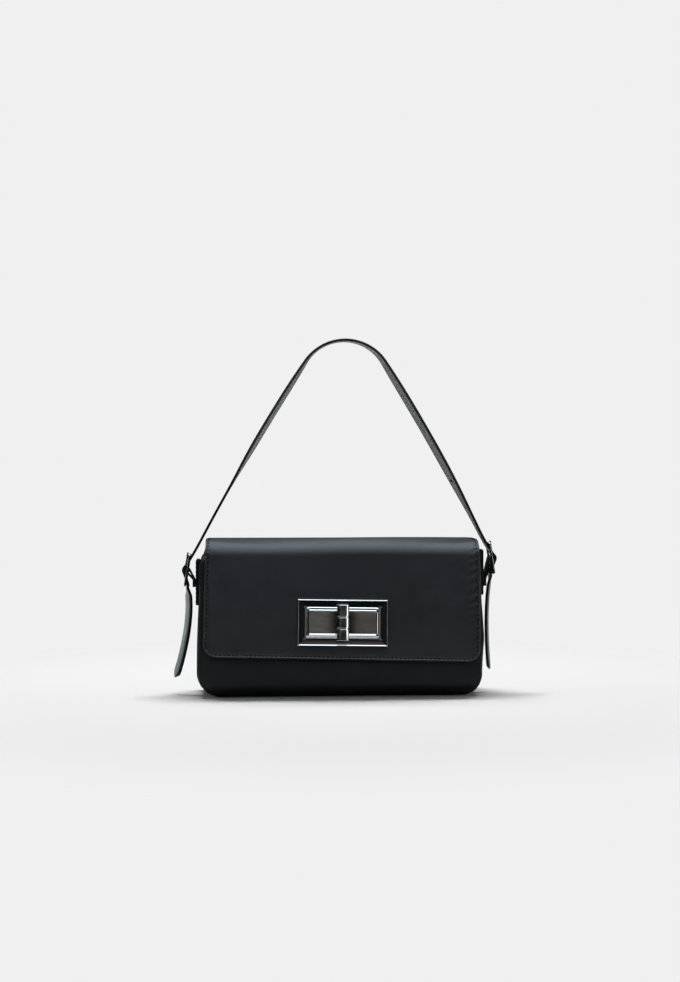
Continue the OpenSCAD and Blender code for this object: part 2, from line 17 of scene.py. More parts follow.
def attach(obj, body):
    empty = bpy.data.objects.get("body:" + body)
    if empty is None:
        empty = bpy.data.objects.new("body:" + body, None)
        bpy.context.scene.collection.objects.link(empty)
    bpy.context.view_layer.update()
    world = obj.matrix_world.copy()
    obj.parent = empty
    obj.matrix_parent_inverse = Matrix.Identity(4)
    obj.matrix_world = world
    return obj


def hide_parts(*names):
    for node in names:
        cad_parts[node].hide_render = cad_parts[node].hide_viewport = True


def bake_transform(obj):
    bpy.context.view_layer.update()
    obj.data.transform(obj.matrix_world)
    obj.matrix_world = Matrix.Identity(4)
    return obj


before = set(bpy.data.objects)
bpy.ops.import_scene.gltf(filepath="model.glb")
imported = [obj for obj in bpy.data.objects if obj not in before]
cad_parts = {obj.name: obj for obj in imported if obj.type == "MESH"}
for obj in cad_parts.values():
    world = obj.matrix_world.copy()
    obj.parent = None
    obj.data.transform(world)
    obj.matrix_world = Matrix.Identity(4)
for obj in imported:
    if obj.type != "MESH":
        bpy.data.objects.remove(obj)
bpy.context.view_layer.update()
MM = 0.001
print("nodes in the frame:", len(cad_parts))

# %% [markdown]
# ## One way to finish a piece
#
# A bmesh is shaped by operators and then handed over here. The helper scales it to metres, gives it
# smooth shading that stays crisp at true corners, and lets it ride on its body. Pieces that cross a
# joint get no body here.

# %% The helper that finishes a piece
def add_piece(name, bm, materials, body=None, replaced=(), sharp=40):
    """Makes an object of a bmesh in millimetres, on a body, in place of CAD nodes."""
    bmesh.ops.scale(bm, vec=(MM, MM, MM), verts=bm.verts)
    mesh = bpy.data.meshes.new(name)
    bm.to_mesh(mesh)
    bm.free()
    for material in materials:
        mesh.materials.append(material)
    mesh.shade_smooth()
    mesh.set_sharp_from_angle(angle=math.radians(sharp))
    piece = bpy.data.objects.new(name, mesh)
    bpy.context.scene.collection.objects.link(piece)
    if body:
        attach(piece, body)
    if replaced:
        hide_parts(*replaced)
    print(f"{name}: {len(mesh.polygons)} faces")
    return piece


def bake_modifiers(piece):
    """Turns what the modifiers make of a piece into its own mesh."""
    graph = bpy.context.evaluated_depsgraph_get()
    mesh = bpy.data.meshes.new_from_object(piece.evaluated_get(graph))
    piece.modifiers.clear()
    piece.data = mesh


def thicken(piece, thick, offset=-1.0, label="hide", inner=0, rim=0):
    """Gives a sheet its thickness, and its inner face and rim materials further down its list."""
    wall = piece.modifiers.new(label, "SOLIDIFY")
    wall.thickness, wall.offset = thick * MM, offset
    wall.material_offset, wall.material_offset_rim = inner, rim


# %% [markdown]
# ## Materials
#
# Each finish is a small node tree. One function adds a node, sets it up and links it, and one turns
# a hex colour, as a picture editor shows it, into the linear light that the shader wants.

# %% Colour and node helpers
def linear(code):
    """A colour for the shader from an sRGB hex code."""
    values = [int(code[i:i + 2], 16) / 255 for i in (1, 3, 5)]
    return tuple(v / 12.92 if v < 0.04045 else ((v + 0.055) / 1.055) ** 2.4 for v in values) + (1,)


def add_node(tree, kind, inputs=None, **settings):
    """Adds a node with its settings; an input is a value or another node's output."""
    made = tree.nodes.new(kind)
    for key, value in settings.items():
        setattr(made, key, value)
    for key, value in (inputs or {}).items():
        if isinstance(value, bpy.types.NodeSocket):
            tree.links.new(value, made.inputs[key])
        else:
            made.inputs[key].default_value = value
    return made


def new_material(name, **shader):
    """A material with one principled shader, and its tree, shader and object coordinates."""
    material = bpy.data.materials.new(name)
    material.use_nodes = True
    tree = material.node_tree
    tree.nodes.clear()
    surface = add_node(tree, "ShaderNodeBsdfPrincipled", shader)
    add_node(tree, "ShaderNodeOutputMaterial", {"Surface": surface.outputs[0]})
    place = add_node(tree, "ShaderNodeTexCoord").outputs["Object"]
    return material, tree, surface, place


def per_metre(size_mm):
    """The scale of a pattern that repeats once in so many millimetres."""
    return 1 / (size_mm * MM)


# %% [markdown]
# ### Smooth calf leather
#
# The bag is drum-dyed calf with a light finish. The eye sees a nearly black hide with a cool tint,
# a soft satin gloss that opens into a pale band where the flap rolls over, faint pores, and slow
# changes of tone. Pores on the real hide are about 0.3 mm apart, too fine for this picture, so they
# are drawn at 0.9 mm. Handled parts are a little smoother, so the roughness drifts as well.

# %% Leather
def leather(name, dark, light, rough_low, rough_high, pore_mm=0.9, depth_mm=0.03, gloss=0.5, sheen=0.04):
    material, tree, surface, place = new_material(
        name, **{"IOR": 1.5, "Specular IOR Level": gloss, "Sheen Weight": sheen, "Sheen Roughness": 0.4})
    surface.inputs["Sheen Tint"].default_value = linear("#8fa6b8")
    drift = add_node(tree, "ShaderNodeTexNoise",
                     {"Vector": place, "Scale": per_metre(55), "Detail": 5.0, "Roughness": 0.6})
    tone = add_node(tree, "ShaderNodeMapRange",
                    {"Value": drift.outputs["Fac"], "From Min": 0.3, "From Max": 0.7})
    colour = add_node(tree, "ShaderNodeMix",
                      {"Factor": tone.outputs[0], 6: linear(dark), 7: linear(light)}, data_type="RGBA")
    tree.links.new(colour.outputs[2], surface.inputs["Base Color"])
    rub = add_node(tree, "ShaderNodeTexNoise",
                   {"Vector": place, "Scale": per_metre(14), "Detail": 6.0, "Roughness": 0.65})
    rough = add_node(tree, "ShaderNodeMapRange",
                     {"Value": rub.outputs["Fac"], "From Min": 0.3, "From Max": 0.7,
                      "To Min": rough_low, "To Max": rough_high})
    tree.links.new(rough.outputs[0], surface.inputs["Roughness"])
    pores = add_node(tree, "ShaderNodeTexVoronoi",
                     {"Vector": place, "Scale": per_metre(pore_mm), "Randomness": 1.0},
                     feature="SMOOTH_F1")
    crease = add_node(tree, "ShaderNodeTexNoise",
                      {"Vector": place, "Scale": per_metre(4), "Detail": 7.0, "Roughness": 0.55})
    height = add_node(tree, "ShaderNodeMath",
                      {0: pores.outputs["Distance"], 1: crease.outputs["Fac"]}, operation="ADD")
    bump = add_node(tree, "ShaderNodeBump",
                    {"Height": height.outputs[0], "Strength": 0.5, "Distance": depth_mm * MM})
    tree.links.new(bump.outputs[0], surface.inputs["Normal"])
    return material


# The body's calf is the same hide as the flap's, set darker: the darker tone is painted shade for the body,
# which lies under the flap and above the shaded floor.
body_calf_painted_shade = leather("calf_leather_body_painted_shade", "#0d0e11", "#121317", 0.42, 0.52, gloss=0.25)
flap_calf = leather("calf_leather_flap", "#17181c", "#1d1e22", 0.42, 0.50)
strap_calf = leather("strap_leather_glazed", "#0c0d0f", "#121316", 0.32, 0.42, depth_mm=0.012, gloss=0.3)
# The flap's rim is edge painted, but this paint is a lighter grey than the strips' black edge paint: the grey
# is a painted highlight along the rim, where the floor's light catches it.
edge_paint_painted_highlight = leather("edge_paint_grey_painted_highlight", "#404246", "#505357", 0.25, 0.4, pore_mm=1.6, depth_mm=0.02)
edge_black = leather("edge_paint_black", "#0e0f11", "#16171a", 0.3, 0.45,
                     pore_mm=1.6, depth_mm=0.02, gloss=0.3)
split_grey = leather("leather_back_split_grey", "#5c6163", "#707577", 0.5, 0.6, depth_mm=0.004)
tail_grey = leather("leather_back_worn_grey", "#3e4648", "#4e585a", 0.26, 0.36, depth_mm=0.006, gloss=0.9)
print("leathers made")

# %% [markdown]
# ### Thread, cloth and board
#
# Bonded thread is a two-ply twist with a waxy shine. The lining is a fine twill, so two crossed
# waves make its threads; their real spacing of 0.5 mm is drawn at 1 mm to show. The stiff base
# board is grey pressed fibre.

# %% Thread, cloth and board
# The thread is near black, darker than the leather: it is black thread, and its extra darkness is painted
# shade for the needle holes that the stitches sit in.
thread, tree, surface, place = new_material("bonded_thread_painted_hole_shade", Roughness=0.6)
surface.inputs["Specular IOR Level"].default_value = 0.2
ply = add_node(tree, "ShaderNodeTexWave", {"Vector": place, "Scale": per_metre(2.4), "Distortion": 1.0},
               bands_direction="DIAGONAL")
shade = add_node(tree, "ShaderNodeMix", {"Factor": ply.outputs["Fac"], 6: linear("#010101"),
                                         7: linear("#040405")}, data_type="RGBA")
tree.links.new(shade.outputs[2], surface.inputs["Base Color"])
bump = add_node(tree, "ShaderNodeBump", {"Height": ply.outputs["Fac"], "Distance": 0.05 * MM})
tree.links.new(bump.outputs[0], surface.inputs["Normal"])


def woven(name, dark, light, spacing_mm):
    material, tree, surface, place = new_material(
        name, **{"Roughness": 0.75, "Sheen Weight": 0.3, "Sheen Roughness": 0.5})
    warp = add_node(tree, "ShaderNodeTexWave", {"Vector": place, "Scale": per_metre(spacing_mm) / 6,
                                                "Distortion": 0.4}, bands_direction="X")
    weft = add_node(tree, "ShaderNodeTexWave", {"Vector": place, "Scale": per_metre(spacing_mm) / 6,
                                                "Distortion": 0.4}, bands_direction="Z")
    cross = add_node(tree, "ShaderNodeMath", {0: warp.outputs["Fac"], 1: weft.outputs["Fac"]},
                     operation="MULTIPLY")
    colour = add_node(tree, "ShaderNodeMix", {"Factor": cross.outputs[0], 6: linear(dark),
                                              7: linear(light)}, data_type="RGBA")
    tree.links.new(colour.outputs[2], surface.inputs["Base Color"])
    bump = add_node(tree, "ShaderNodeBump", {"Height": cross.outputs[0], "Distance": 0.15 * MM})
    tree.links.new(bump.outputs[0], surface.inputs["Normal"])
    return material


twill = woven("lining_twill_woven", "#2c2d31", "#46474d", 1.0)
board = woven("fibre_board_pressed", "#4a443b", "#5a5145", 3.0)
print("thread, cloth and board made")

# %% [markdown]
# ### Plated metal
#
# The lock and buckles are cast zinc, polished and nickel plated. Such plating is a mirror with a
# slightly warm grey tint; what gives it away as real is faint polishing haze, so the roughness
# moves between 0.02 and 0.10. Hidden fixings are plain brushed steel, which is duller.

# %% Metals
def metal(name, tint, worn, rough_low, rough_high, grit_mm, streak=1.0):
    material, tree, surface, place = new_material(name, Metallic=1.0)
    stretch = add_node(tree, "ShaderNodeMapping", {"Vector": place, "Scale": (1.0, 1.0, streak)})
    haze = add_node(tree, "ShaderNodeTexNoise", {"Vector": stretch.outputs[0],
                                                 "Scale": per_metre(grit_mm), "Detail": 6.0})
    colour = add_node(tree, "ShaderNodeMix", {"Factor": haze.outputs["Fac"], 6: linear(tint),
                                              7: linear(worn)}, data_type="RGBA")
    tree.links.new(colour.outputs[2], surface.inputs["Base Color"])
    rough = add_node(tree, "ShaderNodeMapRange", {"Value": haze.outputs["Fac"], "From Min": 0.3,
                                                  "From Max": 0.7, "To Min": rough_low,
                                                  "To Max": rough_high})
    tree.links.new(rough.outputs[0], surface.inputs["Roughness"])
    bump = add_node(tree, "ShaderNodeBump", {"Height": haze.outputs["Fac"], "Strength": 0.3,
                                             "Distance": 0.01 * MM})
    tree.links.new(bump.outputs[0], surface.inputs["Normal"])
    return material


nickel = metal("nickel_plate_polished", "#dcdcd8", "#cfcfcc", 0.04, 0.10, 9.0)
mirror = metal("nickel_panel_mirror", "#b9b4ab", "#a39e96", 0.02, 0.06, 12.0, streak=4.0)
steel = metal("steel_brushed", "#9b9da1", "#87898d", 0.28, 0.42, 1.2, streak=0.1)
print("metals made")

# %% [markdown]
# ## The body: one soft shell in three pieces
#
# The real body is a front panel, a back panel and one long strip that forms both gussets and the
# base. The panels' edges turn back a few millimetres and are sewn to the strip. A shell like this
# could be five plates, but leather never meets in a knife edge, so each panel is a grid laid over
# one pair of outlines, with its rim rolled back, and the strip is an extruded line that sags.

# %% The body's outlines
BODY_HALF_W, CORNER_R, SHOULDER, TAPER = 131.0, 22.0, 118.0, 7.0
BASE_HALF_D, TOP_HALF_D, EDGE_R, BACK_H, MOUTH_H = 32.0, 22.0, 12.0, 140.6, 128.0
LEAN = math.atan((BASE_HALF_D - TOP_HALF_D) / (BACK_H - EDGE_R))
RIM, HIDE = 4.0, 2.0


def half_width(z):
    """Half the body's width at a height, seen from the front."""
    if z < CORNER_R:
        return BODY_HALF_W - CORNER_R + math.sqrt(max(0.0, CORNER_R ** 2 - (CORNER_R - z) ** 2))
    return BODY_HALF_W - max(0.0, z - SHOULDER) * TAPER / (BACK_H - SHOULDER)


def half_depth(z):
    """Half the body's depth at a height, seen from the side."""
    slope = TOP_HALF_D + (BACK_H - z) * math.tan(LEAN)
    if z < EDGE_R:
        return min(slope, BASE_HALF_D - EDGE_R + math.sqrt(max(0.0, EDGE_R ** 2 - (EDGE_R - z) ** 2)))
    return slope


WORN_Z = (0, 4, 10, 22, 35, 52, 70, 88, 110, 128)
WORN_RIGHT = (0.5, 1.0, 1.8, 3.2, 2.4, 0.8, 1.8, 3.0, 2.8, 2.4)
WORN_LEFT = (0, 0, 0, 0, 0, 0.2, 0.8, 1.6, 1.6, 1.2)


def worn(x, z):
    """A point's place across the bag once its side has slumped inwards with use."""
    inwards = float(np.interp(z, WORN_Z, WORN_RIGHT if x > 0 else WORN_LEFT))
    return x - math.copysign(inwards, x) * min(1.0, abs(x) / 124) ** 6


def spread_rows(low, high, step, fine):
    """Row positions from low to high that start close together and widen to a step."""
    rows, gap = [low], fine
    while rows[-1] + gap < high - step / 2:
        rows.append(rows[-1] + gap)
        gap = min(step, gap * 1.45)
    return rows + [high]


def grid(columns, rows):
    """A bmesh grid with its corner points in reading order, from the lowest row up."""
    bm = bmesh.new()
    bmesh.ops.create_grid(bm, x_segments=columns - 1, y_segments=rows - 1, size=1.0)
    return bm, sorted(bm.verts, key=lambda v: (round(v.co.y, 5), round(v.co.x, 5)))


print(f"the front leans {math.degrees(LEAN):.2f} degrees")

# %% [markdown]
# The grid operator gives even squares. Each point is then slid to its place on the outline, so that
# columns fan out round the lower corners, and the outermost columns and the lowest rows turn the
# edge. A slight fullness below the flap keeps the panel from looking like board.

# %% Front and back panels
def soft(z, x):
    """Fullness of a panel, in millimetres outwards: most low in the middle, none under the flap."""
    return 0.9 * math.exp(-((z - 20) / 13) ** 2) * (1 - (x / 140) ** 2)


def panel(name, way, top, node, columns=73):
    """A panel on the front (-1) or the back (1) with its rim turned towards the gusset."""
    turns = [0.5, 1.2, 2.0, 3.0, 4.0]
    heights = [0.0] * len(turns) + spread_rows(0.0, top, 4.0, 0.25)
    bm, points = grid(columns + 2 * len(turns), len(heights))
    wide = columns + 2 * len(turns)
    for number, v in enumerate(points):
        row, column = divmod(number, wide)
        z = heights[row]
        inner = min(max(column - len(turns), 0), columns - 1)
        across = 2 * inner / (columns - 1) - 1
        side = math.copysign(1, across)
        back = 0.0
        if column < len(turns):
            back = turns[len(turns) - 1 - column]
        if column >= columns + len(turns):
            back = turns[column - columns - len(turns)]
        if row < len(turns):
            back = max(back, turns[len(turns) - 1 - row])
        x = across * half_width(z)
        roll = math.sqrt(max(0.0, 1 - (1 - min(1.0, back / 2.0)) ** 2)) if back else 0.0
        x -= side * 1.2 * (1 - roll) * (abs(across) > 0.999) * min(1.0, z / 6)
        v.co = (worn(x, z), way * (half_depth(z) + soft(z, x) * (abs(across) < 0.999) - back), z)
    bmesh.ops.remove_doubles(bm, verts=bm.verts, dist=0.01)
    wanted = Vector((0, way, 0))
    bmesh.ops.recalc_face_normals(bm, faces=bm.faces)
    middle = min(bm.faces, key=lambda f: (f.calc_center_median() - Vector((0, way * 26, 80))).length)
    if middle.normal.dot(wanted) < 0:
        bmesh.ops.reverse_faces(bm, faces=bm.faces)
    piece = add_piece(name, bm, [body_calf_painted_shade], "bag", [node], sharp=70)
    thicken(piece, HIDE)
    bake_modifiers(piece)


panel("front_leather", -1, MOUTH_H, "front_panel")
panel("back_leather", 1, BACK_H, "back_panel")

# %% [markdown]
# The strip starts as the outline's points, is extruded in short steps from front to back, and each
# step takes the depth of the bag at that height. A shallow groove marks the seam beside each rim,
# the base hangs a little between its seams, and the right side is slightly fuller, as worn bags are.

# %% Gusset and base strip
def strip_line(inset=0.0, top=MOUTH_H):
    """The outline from the left mouth down, under the base and up to the right mouth."""
    r = CORNER_R - inset
    up = spread_rows(CORNER_R, top, 5.0, 3.0)
    right = [(half_width(z) - inset, z) for z in up]
    turn = [(BODY_HALF_W - CORNER_R + r * math.sin(a), CORNER_R - r * math.cos(a))
            for a in (math.radians(90 * i / 12) for i in range(1, 12))]
    base = [(x, inset) for x in np.linspace(0, BODY_HALF_W - CORNER_R, 16)]
    half = base + turn + right
    return [(-x, z) for x, z in reversed(half[1:])] + half


def strip_shell(line, shares, reach, shape):
    """Extrudes a line of x and z points through shares (-1 to 1) of a depth, then shapes it."""
    bm = bmesh.new()
    verts = [bm.verts.new((x, shares[0], z)) for x, z in line]
    edges = [bm.edges.new(pair) for pair in zip(verts, verts[1:])]
    for before, after in zip(shares, shares[1:]):
        made = bmesh.ops.extrude_edge_only(bm, edges=edges)["geom"]
        edges = [g for g in made if isinstance(g, bmesh.types.BMEdge)
                 and all(v in made for v in g.verts) and len(g.link_faces) == 1]
        bmesh.ops.translate(bm, vec=(0, after - before, 0),
                            verts=[g for g in made if isinstance(g, bmesh.types.BMVert)])
    for v in bm.verts:
        share, depth = v.co.y, reach(v.co.z)
        v.co = shape(v.co.x, share, v.co.z, depth)
    bmesh.ops.recalc_face_normals(bm, faces=bm.faces)
    return bm


def point_outwards(bm, inwards=False):
    """Turns an open shell's faces away from the bag's middle, or towards it."""
    face = max(bm.faces, key=lambda f: abs(f.calc_center_median().x))
    out = face.normal.x * face.calc_center_median().x > 0
    if out == inwards:
        bmesh.ops.reverse_faces(bm, faces=bm.faces)


def gusset_shape(x, share, z, depth):
    """A point of the strip, with its seam grooves, sagging base and fuller right side."""
    reach = max(depth - RIM + 0.6, 1.0)
    y = share * reach
    seam = math.exp(-((reach - abs(y)) / 1.1) ** 2)
    belly = (1 - share ** 2) * math.sin(math.pi * min(1, max(0, (z - 12) / 70))) * (1.6 if x > 0 else 0.7)
    if z > CORNER_R:
        dx = math.copysign(belly - 0.8 * seam, x)
    else:
        dx = math.copysign(-0.8 * seam, x) * z / CORNER_R
    lift = 0.8 * seam * (1 - min(1.0, z / CORNER_R)) + 0.25 * share ** 2 * (z < 0.01)
    return (worn(x, z) + dx, y, z + lift)


shares = [-1, -0.985, -0.96, -0.93, -0.88, -0.75, -0.55, -0.3, 0, 0.3, 0.55, 0.75, 0.88, 0.93, 0.96, 0.985, 1]
gusset_mesh = strip_shell(strip_line(), shares, half_depth, gusset_shape)
point_outwards(gusset_mesh)
gusset_leather = add_piece("gusset_leather", gusset_mesh, [body_calf_painted_shade], "bag",
                           ["gusset_band"], sharp=70)
thicken(gusset_leather, HIDE)
bake_modifiers(gusset_leather)

# %% [markdown]
# ### Lining, pocket and mouth
#
# Inside, a twill lining hangs free of the leather by a couple of millimetres. A slip pocket sits on
# the back wall.

# %% Lining and pocket
LINING_IN, LINING_TOP, LINING_T = 4.4, 127.5, 0.6


def lining_depth(z):
    """Half the lining's depth at a height."""
    if z < EDGE_R:
        r = EDGE_R - LINING_IN
        return BASE_HALF_D - EDGE_R + math.sqrt(max(0.0, r ** 2 - (EDGE_R - z) ** 2))
    return half_depth(z) - LINING_IN


def lining_shape(x, share, z, depth):
    """A point of the lining's strip, slack in the middle of the side walls."""
    slack = 0.8 * (1 - share ** 2) * math.sin(math.pi * min(1, max(0, (z - 15) / 100)))
    return (worn(x, z) - math.copysign(slack, x) * (abs(x) > 90), share * depth, z)


def lining_wall(way):
    """One large wall of the lining, rounded at its lower corners."""
    heights = spread_rows(LINING_IN, LINING_TOP, 6.0, 0.4)
    bm, points = grid(41, len(heights))
    for number, v in enumerate(points):
        row, column = divmod(number, 41)
        z = heights[row]
        r = CORNER_R - LINING_IN
        width = half_width(z) - LINING_IN
        if z < CORNER_R:
            width = BODY_HALF_W - CORNER_R + math.sqrt(max(0.0, r ** 2 - (CORNER_R - z) ** 2))
        x = (2 * column / 40 - 1) * width
        slack = 0.5 * math.sin(x / 17) * math.sin(math.pi * (z - LINING_IN) / (LINING_TOP - LINING_IN))
        v.co = (worn(x, z), way * (lining_depth(z) - abs(slack)), z)
    return bm


lining_mesh = strip_shell(strip_line(LINING_IN, LINING_TOP), [-1, -0.6, -0.2, 0.2, 0.6, 1],
                          lining_depth, lining_shape)
for way in (-1, 1):
    wall_mesh = lining_wall(way)
    joined = bpy.data.meshes.new("lining_part")
    wall_mesh.to_mesh(joined)
    wall_mesh.free()
    lining_mesh.from_mesh(joined)
    bpy.data.meshes.remove(joined)
bmesh.ops.remove_doubles(lining_mesh, verts=lining_mesh.verts, dist=0.05)
bmesh.ops.recalc_face_normals(lining_mesh, faces=lining_mesh.faces)
point_outwards(lining_mesh)
lining_cloth = add_piece("lining_cloth", lining_mesh, [twill], "bag", ["lining"], sharp=60)
thicken(lining_cloth, LINING_T, label="cloth")
bake_modifiers(lining_cloth)

POCKET_W, POCKET_H, POCKET_Z, POCKET_T = 120.0, 70.0, 34.0, 0.5
pocket_mesh, points = grid(31, 19)
for number, v in enumerate(points):
    row, column = divmod(number, 31)
    across, up = 2 * column / 30 - 1, row / 18
    z = POCKET_Z + POCKET_H * up
    edge = min(1 - abs(across), up) * 12
    stand = min(1.0, edge) * (0.8 + 0.9 * up * (1 - across ** 2))
    v.co = (across * POCKET_W / 2, half_depth(z) - LINING_IN - LINING_T - 0.15 - stand, z)
bmesh.ops.recalc_face_normals(pocket_mesh, faces=pocket_mesh.faces)
pocket = add_piece("slip_pocket_cloth", pocket_mesh, [twill], "bag", ["slip_pocket"])
thicken(pocket, POCKET_T, offset=0.0, label="cloth")
bake_modifiers(pocket)

# %% [markdown]
# ## The flap
#
# One piece of calf, sewn to the back panel, rolls over the front edge and falls to a row of
# stitches near its rim. It could be a bent plate, but the picture shows a slightly wavy roll,
# puckers pulled by the thread at the right, and a rim that stands proud outside the stitches. So a
# fine grid is laid along the section's line, and each point moves a little along its normal. The
# low edge slopes down a little to the right, where the roll is also a bit fuller.

# %% The flap's section and outline
ROLL_R, FLAP_TOP_Z, FLAP_LOW_Z, FLAP_T = 16.0, 143.3, 35.5, 2.4
FLAP_CORNER, STITCH_IN = 12.0, 2.4
FLAP_GAP = 4.7
LOW_DROP, LOW_SLANT, TOP_SPARE = 1.6, 0.0236, 2.4
ROLL_Z = FLAP_TOP_Z - ROLL_R
ROLL_Y = -(TOP_HALF_D + (BACK_H - ROLL_Z) * math.tan(LEAN)) - (FLAP_GAP - ROLL_R) / math.cos(LEAN)
REAR_Y = 22.0
TOP_RUN = REAR_Y - ROLL_Y
ROLL_RUN = ROLL_R * (math.pi / 2 - LEAN)
FACE_RUN = (ROLL_Z + ROLL_R * math.sin(LEAN) - FLAP_LOW_Z) / math.cos(LEAN)
FLAP_RUN = TOP_RUN + ROLL_RUN + FACE_RUN


def section(s):
    """The flap's outer face at a distance along it from the back: y, z and its normal's angle."""
    if s < TOP_RUN:
        return REAR_Y - s, FLAP_TOP_Z, math.pi / 2
    if s < TOP_RUN + ROLL_RUN:
        a = math.pi / 2 + (s - TOP_RUN) / ROLL_R
        return ROLL_Y + ROLL_R * math.cos(a), ROLL_Z + ROLL_R * math.sin(a), a
    d = s - TOP_RUN - ROLL_RUN
    a = math.pi - LEAN
    return (ROLL_Y + ROLL_R * math.cos(a) - d * math.sin(LEAN),
            ROLL_Z + ROLL_R * math.sin(a) - d * math.cos(LEAN), a)


def flap_half(s):
    """Half the flap's width at a distance along it, without its round corners."""
    if s < TOP_RUN + ROLL_RUN / 2:
        return 120 + 3.4 * min(1.0, s / 12) + 0.6 * min(1.0, s / (TOP_RUN + 11))
    return 124 + 2 * min(1.0, (s - TOP_RUN - ROLL_RUN / 2) / (FACE_RUN - 4))


def rim_distance(x, s):
    """How far a point lies inside the flap's rim."""
    a, b = flap_half(s) - abs(x), FLAP_RUN - s
    if a < FLAP_CORNER and b < FLAP_CORNER:
        return FLAP_CORNER - math.hypot(FLAP_CORNER - a, FLAP_CORNER - b)
    return min(a, b)


def relief(x, s):
    """How far the leather stands off its section: rim, stitch groove, puckers and slow waves."""
    d = rim_distance(x, s)
    rim = 0.14 / (1 + math.exp((d - 1.8) / 0.22)) - 0.9 * max(0.0, 1 - d / 1.1) ** 2
    groove = -0.85 * math.exp(-((d - STITCH_IN) / 0.85) ** 2)
    phase = 2 * math.pi * (s + 0.9 * abs(x)) / 7.4
    pull = math.exp(-((d - 4.8) / 2.4) ** 2) * (0.5 if x > 0 else 0.15)
    pull *= 1.0 if s < TOP_RUN + ROLL_RUN + 62 else 0.25
    pull *= min(1.0, max(0.0, (s - TOP_RUN) / 8))
    pucker = pull * math.sin(phase + 1.3 * math.sin(s / 9))
    wave = 0.55 * math.sin(x / 27 + 0.8) * math.exp(-((s - TOP_RUN - 6) / 18) ** 2)
    dent = -0.5 * math.exp(-((x - 105) / 14) ** 2 - ((s - TOP_RUN - 2) / 12) ** 2)
    slow = 0.25 * math.sin(x / 38 + s / 31) * min(1.0, d / 20)
    pressed = -1.6 * math.exp(-((x - 2.2) / 3.6) ** 4 - ((FLAP_RUN - s - 2) / 6) ** 2)
    return rim + groove + pucker + wave + dent + slow + pressed


def flap_point(x, s, off=0.0):
    """A point on or off the flap's leather, and the leather's normal."""
    down = min(1.0, max(0.0, (s - TOP_RUN - ROLL_RUN) / (FACE_RUN - FLAP_CORNER)))
    y, z, a = section(s + down * (LOW_DROP + LOW_SLANT * x))
    normal = Vector((0, math.cos(a), math.sin(a)))
    spare = TOP_SPARE * (1 - down) * min(1.0, s / 12) * max(0.0, x / 124) ** 6
    return Vector((x + spare, y, z)) + normal * (relief(x, s) + off), normal


print(f"the flap is {FLAP_RUN:.0f} mm from the back edge to its rim")

# %% [markdown]
# Columns crowd towards the rim, where the relief is fine, and spread in the middle. The grid is
# laid from a few millimetres past the back edge, thickened inwards with a lining, and its edge gets
# the paint, whose light grey is a painted highlight. The fold and the hinge are joints of the frame,
# so the piece is split on the flat top into a rear strip and the rest.

# %% The flap's leather
SPLIT_S = 14.0


def rim_spread(half, edge_step, middle_step):
    """Signed positions from -1 to 1 whose spacing is fine at both ends."""
    side = spread_rows(0.0, half, middle_step, edge_step)
    return [(-half + d) / half for d in side[:-1]] + [(half - d) / half for d in reversed(side)]


def flap_sheet(name, start, end, replaced, close):
    """The flap between two distances from its back edge, with leather, paint and lining."""
    across = rim_spread(124.0, 0.35, 2.6)
    rows = list(np.arange(start, end - 7, 1.6)) + list(reversed([end - d for d in spread_rows(
        0.0, 7.0, 1.4, 0.35)])) if close else list(np.linspace(start, end, 15))
    bm, points = grid(len(across), len(rows))
    for number, v in enumerate(points):
        row, column = divmod(number, len(across))
        s, u = float(rows[row]), across[column]
        x = u * flap_half(s)
        low = FLAP_RUN - s
        if low < FLAP_CORNER:
            cut = FLAP_CORNER - math.sqrt(max(0.0, FLAP_CORNER ** 2 - (FLAP_CORNER - low) ** 2))
            x = u * (flap_half(s) - cut)
        v.co = flap_point(x, s)[0]
    bmesh.ops.recalc_face_normals(bm, faces=bm.faces)
    if sum(f.normal.z for f in bm.faces) + sum(-f.normal.y for f in bm.faces) < 0:
        bmesh.ops.reverse_faces(bm, faces=bm.faces)
    piece = add_piece(name, bm, [flap_calf, body_calf_painted_shade, edge_paint_painted_highlight],
                      None, replaced, sharp=60)
    thicken(piece, FLAP_T * 0.97, inner=1, rim=2)
    bake_modifiers(piece)
    return piece


flap_leather = flap_sheet("flap_leather", SPLIT_S, FLAP_RUN, ["flap_front", "flap_front_lining"], True)
FOLD_S = TOP_RUN + ROLL_RUN / 2
fold_start = flap_point(0, FOLD_S - 9)[0] * MM
fold_end = flap_point(0, FOLD_S + 9)[0] * MM
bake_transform(flap_leather)

rear_strip = flap_sheet("flap_rear_leather", 0.4, SPLIT_S, ["flap_top", "flap_top_lining"], False)

# %% [markdown]
# The rear strip also turns down over the back panel, where it is sewn on. A second grid takes it
# round the top edge and down the back to its own row of stitches.

# %% The flap's seam on the back panel
corner_r, tuck_low = 3.0, 122.0
across = rim_spread(120.0, 0.5, 4.0)
rows = [("arc", a) for a in np.linspace(0, 90, 8)] + [("face", z) for z in np.linspace(137, tuck_low, 10)]
down_mesh, points = grid(len(across), len(rows))
for number, v in enumerate(points):
    row, column = divmod(number, len(across))
    kind, value = rows[row]
    if kind == "arc":
        a = math.radians(value)
        y = REAR_Y - 0.4 + corner_r * math.sin(a)
        z = FLAP_TOP_Z - corner_r + corner_r * math.cos(a)
    else:
        y = half_depth(value) + 0.35 + FLAP_T
        z = value
    d = z - tuck_low
    groove = 0.4 * math.exp(-((d - STITCH_IN) / 0.8) ** 2)
    x = across[column] * (flap_half(0.4) if kind == "arc" else min(120.0, half_width(z) - 2))
    v.co = (x, y - groove + (relief(x, 0.4) if kind == "arc" and value < 1 else 0), z)
bmesh.ops.recalc_face_normals(down_mesh, faces=down_mesh.faces)
if sum(f.normal.y + f.normal.z for f in down_mesh.faces) < 0:
    bmesh.ops.reverse_faces(down_mesh, faces=down_mesh.faces)
